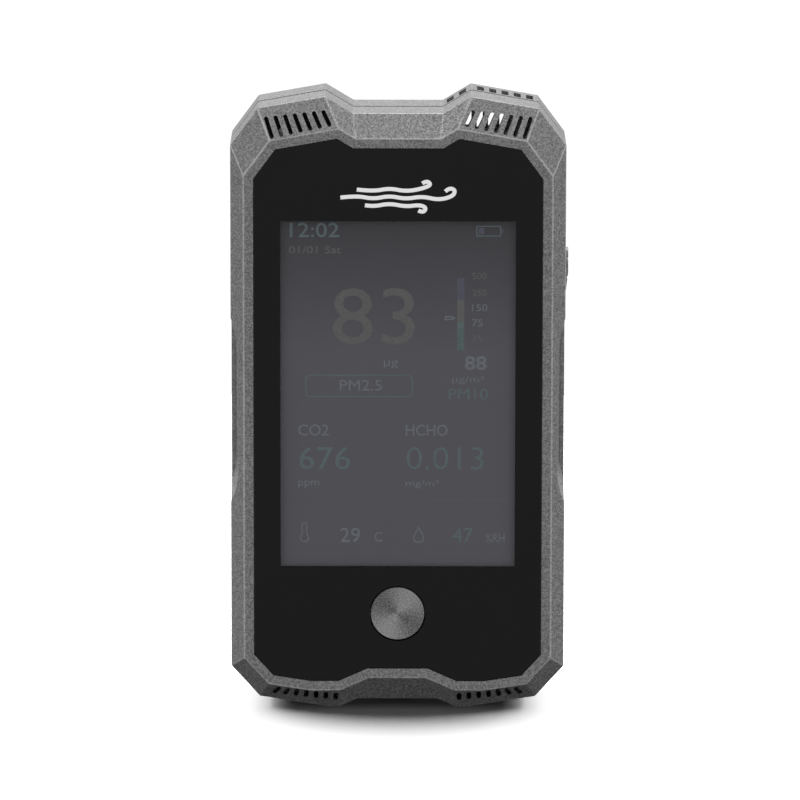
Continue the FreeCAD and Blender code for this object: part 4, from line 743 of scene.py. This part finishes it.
# ---- Chips, coil and buzzer on the board
# Parts soldered on the main board: chips in moulded black resin, a coil under a dark ferrite body, and
# a round piezo buzzer in a plastic shell.

RESIN_BLACK = (0.03, 0.03, 0.032)
FERRITE_GREY = (0.13, 0.13, 0.13)

resin = moulded("chip_resin", RESIN_BLACK, 0.5, 6000)
for node in ("microcontroller", "climate_sensor"):
    dress(node, resin)
ferrite = new_finish("coil_ferrite", FERRITE_GREY, 0.7)
shades(ferrite, cells(ferrite, 4000), times(FERRITE_GREY, 0.6), times(FERRITE_GREY, 1.5))
relief(ferrite, noise(ferrite, 4000, 4.0), 0.03 * MM, 0.6)
dress("power_inductor", ferrite)
dress("buzzer", moulded("buzzer_shell", RESIN_BLACK, 0.4))

# ---- Charging port
# A socket stamped from tin-plated steel, soldered on the board and open downwards. Five gold-plated
# contacts lie on its tongue.

TIN = (0.66, 0.66, 0.65)
GOLD = (0.80, 0.58, 0.24)
CONTACT_WIDTH = 0.3 * MM
CONTACT_THICKNESS = 0.06 * MM
CONTACT_LENGTH = 2.6 * MM
CONTACT_PITCH = 0.65 * MM
CONTACT_COUNT = 5
CONTACT_EDGE = 0.015 * MM
CONTACT_IN = 0.75 * MM
TONGUE_FORWARD = 0.3 * MM

dress("usb_socket", brushed("port_tin", TIN, 0.3, "Z"))
port_low, port_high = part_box("usb_socket")
port_middle = (port_low + port_high) / 2
tongue_front = port_middle.y - TONGUE_FORWARD
contacts_middle = port_low.z + CONTACT_IN + CONTACT_LENGTH / 2
contacts = bmesh.new()
for number in range(CONTACT_COUNT):
    strip = bmesh.ops.create_cube(contacts, size=1)["verts"]
    bmesh.ops.scale(contacts, vec=(CONTACT_WIDTH, CONTACT_THICKNESS, CONTACT_LENGTH), verts=strip)
    across = (number - (CONTACT_COUNT - 1) / 2) * CONTACT_PITCH
    place = (port_middle.x + across, tongue_front - CONTACT_THICKNESS * 0.3, contacts_middle)
    bmesh.ops.translate(contacts, vec=place, verts=strip)
bmesh.ops.bevel(
    contacts, geom=contacts.edges[:], offset=CONTACT_EDGE, segments=2, profile=0.5, affect="EDGES",
    material=-1,
)
finished_piece(contacts, "port_contacts", brushed("contact_gold", GOLD, 0.25, "Z"), "case")

# ---- Battery
# A flat lithium pouch in dull silver foil, taped to the board, with two insulated leads crimped into
# an ivory plug.

FOIL = (0.60, 0.60, 0.61)
TAPE_WHITE = (0.80, 0.80, 0.79)
LEAD_RED = (0.45, 0.02, 0.015)
LEAD_BLACK = (0.018, 0.018, 0.018)

pouch = new_finish("pouch_foil", FOIL, 0.4, 0.9)
shades(pouch, noise(pouch, 300, 4.0), times(FOIL, 0.8), times(FOIL, 1.1))
relief(pouch, noise(pouch, 220, 5.0), 0.25 * MM, 0.6)
dress("battery", pouch)


def tape(name, colour):
    """Thin tape with a faint woven backing."""
    material = new_finish(name, colour, 0.7)
    weave = stripes(material, 5000, "X")
    shades(material, weave, times(colour, 0.88), colour)
    relief(material, weave, 0.02 * MM, 0.5)
    return material


tape_white = tape("tape_white", TAPE_WHITE)
dress("battery_tape", tape_white)
for node in ("battery_socket", "battery_plug"):
    dress(node, ivory)


def insulation(name, colour):
    """Soft extruded insulation, with faint lengthwise drag marks."""
    material = new_finish(name, colour, 0.45)
    drag = noise(material, 5000, 2.0, own_place(material, stretch=(1, 1, 15)))
    shades(material, drag, times(colour, 0.8), times(colour, 1.2))
    relief(material, drag, 0.01 * MM, 0.5)
    return material


dress("battery_lead_red", insulation("lead_red", LEAD_RED))
dress("battery_lead_black", insulation("lead_black", LEAD_BLACK))

# ---- Particle sensor
# A black moulded tray under a stamped steel lid. A small blower draws air through a laser's beam,
# and a green board below reads the scattered light.

HOUSING_BLACK = (0.03, 0.03, 0.031)
LID_STEEL = (0.55, 0.55, 0.56)
BARREL_BRASS = (0.62, 0.44, 0.19)

housing = moulded("sensor_housing", HOUSING_BLACK, 0.5)
for node in ("dust_sensor_case", "fan_stator", "dust_header"):
    dress(node, housing)
dress("dust_sensor_lid", brushed("lid_steel", LID_STEEL, 0.32))
dress("fan_rotor", moulded("rotor_black", times(HOUSING_BLACK, 1.3), 0.42))
dress("laser_diode", brushed("barrel_brass", BARREL_BRASS, 0.28))

# ---- Carbon dioxide sensor
# A gold-plated optical cell on its own board, raised on two rows of pins, with a white membrane over
# the opening that lets the air in.

CELL_GOLD = (0.74, 0.56, 0.26)

cell = new_finish("cell_gold", CELL_GOLD, 0.35, 1.0)
shades(cell, noise(cell, 500, 4.0), times(CELL_GOLD, 0.82), times(CELL_GOLD, 1.08))
relief(cell, noise(cell, 1800, 3.0), 0.03 * MM, 0.5)
dress("carbon_dioxide_sensor", cell)
dress("carbon_membrane", tape_white)
dress("carbon_pins", housing)

# ---- Formaldehyde sensor
# A steel can on a small board behind the left upper vents, fed by a flat amber lead, with a pad of
# open foam in front of it.

CAN_STEEL = (0.58, 0.58, 0.58)

dress("formaldehyde_sensor", brushed("can_steel", CAN_STEEL, 0.3, "Z"))
dress("gas_lead", ribbon)
dress("air_filter", foam("filter_foam", times(FOAM_BLACK, 0.8), 0.5 * MM))

# ---- Vent meshes
# Two strips of black woven wire mesh, glued inside the bezel behind the lower vents. They let air
# through and keep dust out.

MESH_BLACK = (0.012, 0.012, 0.012)
WIRES_PER_METRE = 2500

mesh_black = new_finish("mesh_black", MESH_BLACK, 0.6, 0.3)
warp = stripes(mesh_black, WIRES_PER_METRE * 3, "X")
weft = stripes(mesh_black, WIRES_PER_METRE * 3, "Z")
woven = add_node(mesh_black, "Math", {0: warp, 1: weft}, operation="MAXIMUM").outputs[0]
shades(mesh_black, woven, times(MESH_BLACK, 0.2), times(MESH_BLACK, 1.3))
relief(mesh_black, woven, 0.05 * MM)
for node in ("vent_mesh_left", "vent_mesh_right"):
    dress(node, mesh_black)

# ---- Power key
# A long key moulded in plastic and painted like the case, with a tapering lower end and two grooves
# for the fingertip. It rides in a hole in the cover's side.

KEY_ROUND = 0.16 * MM
KEY_SHOWN_DEPTH = 0.2 * MM
LEAST_KEY_ANGLE = math.radians(25)

key = merged_copy("power_key")
flat_areas_whole(key)
hole_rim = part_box("rear_cover")[1].x
key_edges = [
    edge for edge in key.edges
    if edge.is_convex and edge.calc_face_angle(0) > LEAST_KEY_ANGLE
    and all(vertex.co.x > hole_rim - KEY_SHOWN_DEPTH for vertex in edge.verts)
]
bmesh.ops.bevel(
    key, geom=key_edges, offset=KEY_ROUND, segments=3, profile=0.5, affect="EDGES",
    clamp_overlap=True, material=-1,
)
sharp_over(key, 30)
key_piece = finished_piece(key, "power_key_cap", silver_paint, "side_key")
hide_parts("power_key")

# ---- Inserts for the case screws
# Four knurled brass inserts, pressed hot into the bezel's bosses, where the knurls grip the plastic.
# The case screws turn into them.

BRASS = (0.68, 0.48, 0.2)

knurled = new_finish("knurled_brass", BRASS, 0.35, 1.0)
knurls = stripes(knurled, 9000, "DIAGONAL")
shades(knurled, knurls, times(BRASS, 0.7), times(BRASS, 1.05))
relief(knurled, knurls, 0.08 * MM, 0.8)
dress("case_inserts", knurled)

# ---- Rear cover
# The back half of the case, moulded and painted like the bezel. It carries the top-edge vents, the
# back vents, the sound holes and the label's recess.

rounded_moulding("rear_cover", "cover_moulding", silver_paint, "case")

# ---- Case screws
# Four black-oxide steel screws with hexagon-like sockets. They are sunk into the cover's corners and
# draw the two mouldings together.

OXIDE_BLACK = (0.028, 0.028, 0.03)

oxide = new_finish("black_oxide", OXIDE_BLACK, 0.42, 0.6)
shades(oxide, noise(oxide, 2500, 4.0), times(OXIDE_BLACK, 0.6), times(OXIDE_BLACK, 1.7))
roughness_between(oxide, noise(oxide, 1200), 0.35, 0.55)
relief(oxide, noise(oxide, 6000), 0.01 * MM, 0.5)
dress("case_screws", oxide)

# ---- Rear label
# A blank label of grey polyester, stuck in a shallow recess of the cover. It has a fine satin grain
# and a thin, paler printed border.

LABEL_GREY = (0.26, 0.26, 0.27)
LABEL_BORDER_IN = 1.6 * MM
LABEL_BORDER = 0.25 * MM

label_low, label_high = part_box("rear_label")
label_middle = (label_low + label_high) / 2
label = new_finish("label_polyester", LABEL_GREY, 0.5, 0.2)
label_place = own_place(label, centre=(label_middle.x, 0, label_middle.z))
label_parts = add_node(label, "SeparateXYZ", {"Vector": label_place})
edge_distances = []
for axis, half in (("X", (label_high.x - label_low.x) / 2), ("Z", (label_high.z - label_low.z) / 2)):
    away = add_node(label, "Math", {0: label_parts.outputs[axis]}, operation="ABSOLUTE").outputs[0]
    edge_distances.append(add_node(label, "Math", {0: half, 1: away}, operation="SUBTRACT").outputs[0])
both_edges = dict(enumerate(edge_distances))
nearest = add_node(label, "Math", both_edges, operation="MINIMUM").outputs[0]
in_line = {0: nearest, 1: LABEL_BORDER_IN, 2: LABEL_BORDER / 2}
on_border = add_node(label, "Math", in_line, operation="COMPARE").outputs[0]
satin = noise(label, 4000, 2.0, own_place(label, stretch=(12, 1, 1)))
tone = add_node(label, "Math", {0: on_border, 1: 2.0, 2: satin}, operation="MULTIPLY_ADD").outputs[0]
scaled_tone = add_node(label, "Math", {0: tone, 1: 0.4}, operation="MULTIPLY").outputs[0]
shades(label, scaled_tone, times(LABEL_GREY, 0.85), times(LABEL_GREY, 2.0), 0.1, 1.0)
relief(label, satin, 0.01 * MM, 0.4)
dress("rear_label", label)

# ---- Floor
# A plain white studio floor that the instrument stands on. It takes the instrument's shadow and is
# kept out of reflections and bounced light.

FLOOR_RADIUS = 0.24
FLOOR_SETBACK = 0.10
FLOOR_WHITE = (0.16, 0.16, 0.16)

floor_mesh = bmesh.new()
bmesh.ops.create_circle(floor_mesh, cap_ends=True, segments=96, radius=FLOOR_RADIUS)
bmesh.ops.translate(floor_mesh, vec=(0, FLOOR_SETBACK, 0), verts=floor_mesh.verts)
floor_data = bpy.data.meshes.new("studio_floor")
floor_mesh.to_mesh(floor_data)
floor_mesh.free()
floor = bpy.data.objects.new("studio_floor", floor_data)
bpy.context.scene.collection.objects.link(floor)
floor_white = new_finish("floor_white", FLOOR_WHITE, 0.9, Specular_IOR_Level=0.0)
shades(floor_white, noise(floor_white, 6), times(FLOOR_WHITE, 0.99), FLOOR_WHITE)
floor_data.materials.append(floor_white)
floor.visible_glossy = False
floor.visible_diffuse = False

# ---- Light
# A white studio: a weak soft light overhead, a dim front, and a brighter wall behind. Two strong soft
# lamps, one on each side, light only the floor and give it the instrument's soft shadow.

ROOM_HEIGHTS = [(0.0, 0.04), (0.39, 0.28), (0.60, 0.37), (0.80, 0.39), (1.0, 0.42)]
ROOM_BACK = 1.9
ROOM_SEEN = 1.05
TOP_LIGHT_WATTS = 3.0
TOP_LIGHT_WIDTH = 0.9
TOP_LIGHT_PLACE = (0, 0.22, 0.9)
FLOOR_LIGHT_WATTS = 84.0
FLOOR_LIGHT_WIDTH = 0.6
FLOOR_LIGHT_PLACES = [(-0.58, 0.39, 0.48), (0.58, 0.39, 0.48)]

world = bpy.data.worlds.new("studio")
world.use_nodes = True
bpy.context.scene.world = world
room = world.node_tree
ways = room.nodes.new("ShaderNodeTexCoord").outputs["Generated"]
apart = room.nodes.new("ShaderNodeSeparateXYZ")
room.links.new(ways, apart.inputs["Vector"])
upward = room.nodes.new("ShaderNodeMapRange")
room.links.new(apart.outputs["Z"], upward.inputs["Value"])
upward.inputs["From Min"].default_value = -1.0
by_height = room.nodes.new("ShaderNodeValToRGB")
room.links.new(upward.outputs["Result"], by_height.inputs["Fac"])
while len(by_height.color_ramp.elements) < len(ROOM_HEIGHTS):
    by_height.color_ramp.elements.new(0.5)
for element, (height, value) in zip(by_height.color_ramp.elements, ROOM_HEIGHTS):
    element.position = height
    element.color = (value, value, value, 1)
backward = room.nodes.new("ShaderNodeMapRange")
room.links.new(apart.outputs["Y"], backward.inputs["Value"])
backward.inputs["To Min"].default_value = 1.0
backward.inputs["To Max"].default_value = ROOM_BACK
strength = room.nodes.new("ShaderNodeMath")
strength.operation = "MULTIPLY"
room.links.new(by_height.outputs["Color"], strength.inputs[0])
room.links.new(backward.outputs["Result"], strength.inputs[1])
lit_room = room.nodes["Background"]
room.links.new(strength.outputs[0], lit_room.inputs["Strength"])
lit_room.inputs["Color"].default_value = (1, 1, 1, 1)
white_room = room.nodes.new("ShaderNodeBackground")
white_room.inputs["Color"].default_value = (1, 1, 1, 1)
white_room.inputs["Strength"].default_value = ROOM_SEEN
seen = room.nodes.new("ShaderNodeLightPath").outputs["Is Camera Ray"]
either = room.nodes.new("ShaderNodeMixShader")
room.links.new(seen, either.inputs[0])
room.links.new(lit_room.outputs[0], either.inputs[1])
room.links.new(white_room.outputs[0], either.inputs[2])
room.links.new(either.outputs[0], room.nodes["World Output"].inputs["Surface"])


def soft_light(name, place, width, watts):
    """A square lamp that faces the instrument's foot."""
    lamp = bpy.data.lights.new(name, "AREA")
    lamp.shape = "SQUARE"
    lamp.size = width
    lamp.energy = watts
    holder = bpy.data.objects.new(name, lamp)
    bpy.context.scene.collection.objects.link(holder)
    turn = (-Vector(place)).to_track_quat("-Z", "Y").to_matrix().to_4x4()
    holder.matrix_world = Matrix.Translation(place) @ turn
    return holder


soft_light("overhead", TOP_LIGHT_PLACE, TOP_LIGHT_WIDTH, TOP_LIGHT_WATTS)
lit_floor = bpy.data.collections.new("lit_floor")
lit_floor.objects.link(floor)
for number, place in enumerate(FLOOR_LIGHT_PLACES):
    floor_light = soft_light(f"over_floor_{number}", place, FLOOR_LIGHT_WIDTH, FLOOR_LIGHT_WATTS)
    floor_light.light_linking.receiver_collection = lit_floor

# ---- Camera
# A long lens a little above the instrument's middle, which looks slightly down at it from far off, so
# the case's sides stay nearly parallel.

CAMERA_DISTANCE = 1.5
CAMERA_ELEVATION = math.radians(11.0)
VIEW_WIDTH = 167.1 * MM
AIM_HEIGHT = 66.4 * MM
AIM_ACROSS = 0.45 * MM
CAMERA_ROLL = math.radians(0.09)
SENSOR_WIDTH = 36.0

target = Vector((AIM_ACROSS, cad_box[0].y, AIM_HEIGHT))
away = Vector((0, -math.cos(CAMERA_ELEVATION), math.sin(CAMERA_ELEVATION)))
camera_data = bpy.data.cameras.new("camera")
camera_data.sensor_width = SENSOR_WIDTH
camera_data.lens = SENSOR_WIDTH * CAMERA_DISTANCE / VIEW_WIDTH
camera_data.clip_end = 20.0
camera = bpy.data.objects.new("camera", camera_data)
bpy.context.scene.collection.objects.link(camera)
facing = (-away).to_track_quat("-Z", "Y").to_matrix().to_4x4()
roll = Matrix.Rotation(CAMERA_ROLL, 4, "Z")
camera.matrix_world = Matrix.Translation(target + away * CAMERA_DISTANCE) @ facing @ roll
bpy.context.scene.camera = camera
bpy.context.scene.view_settings.view_transform = "Standard"
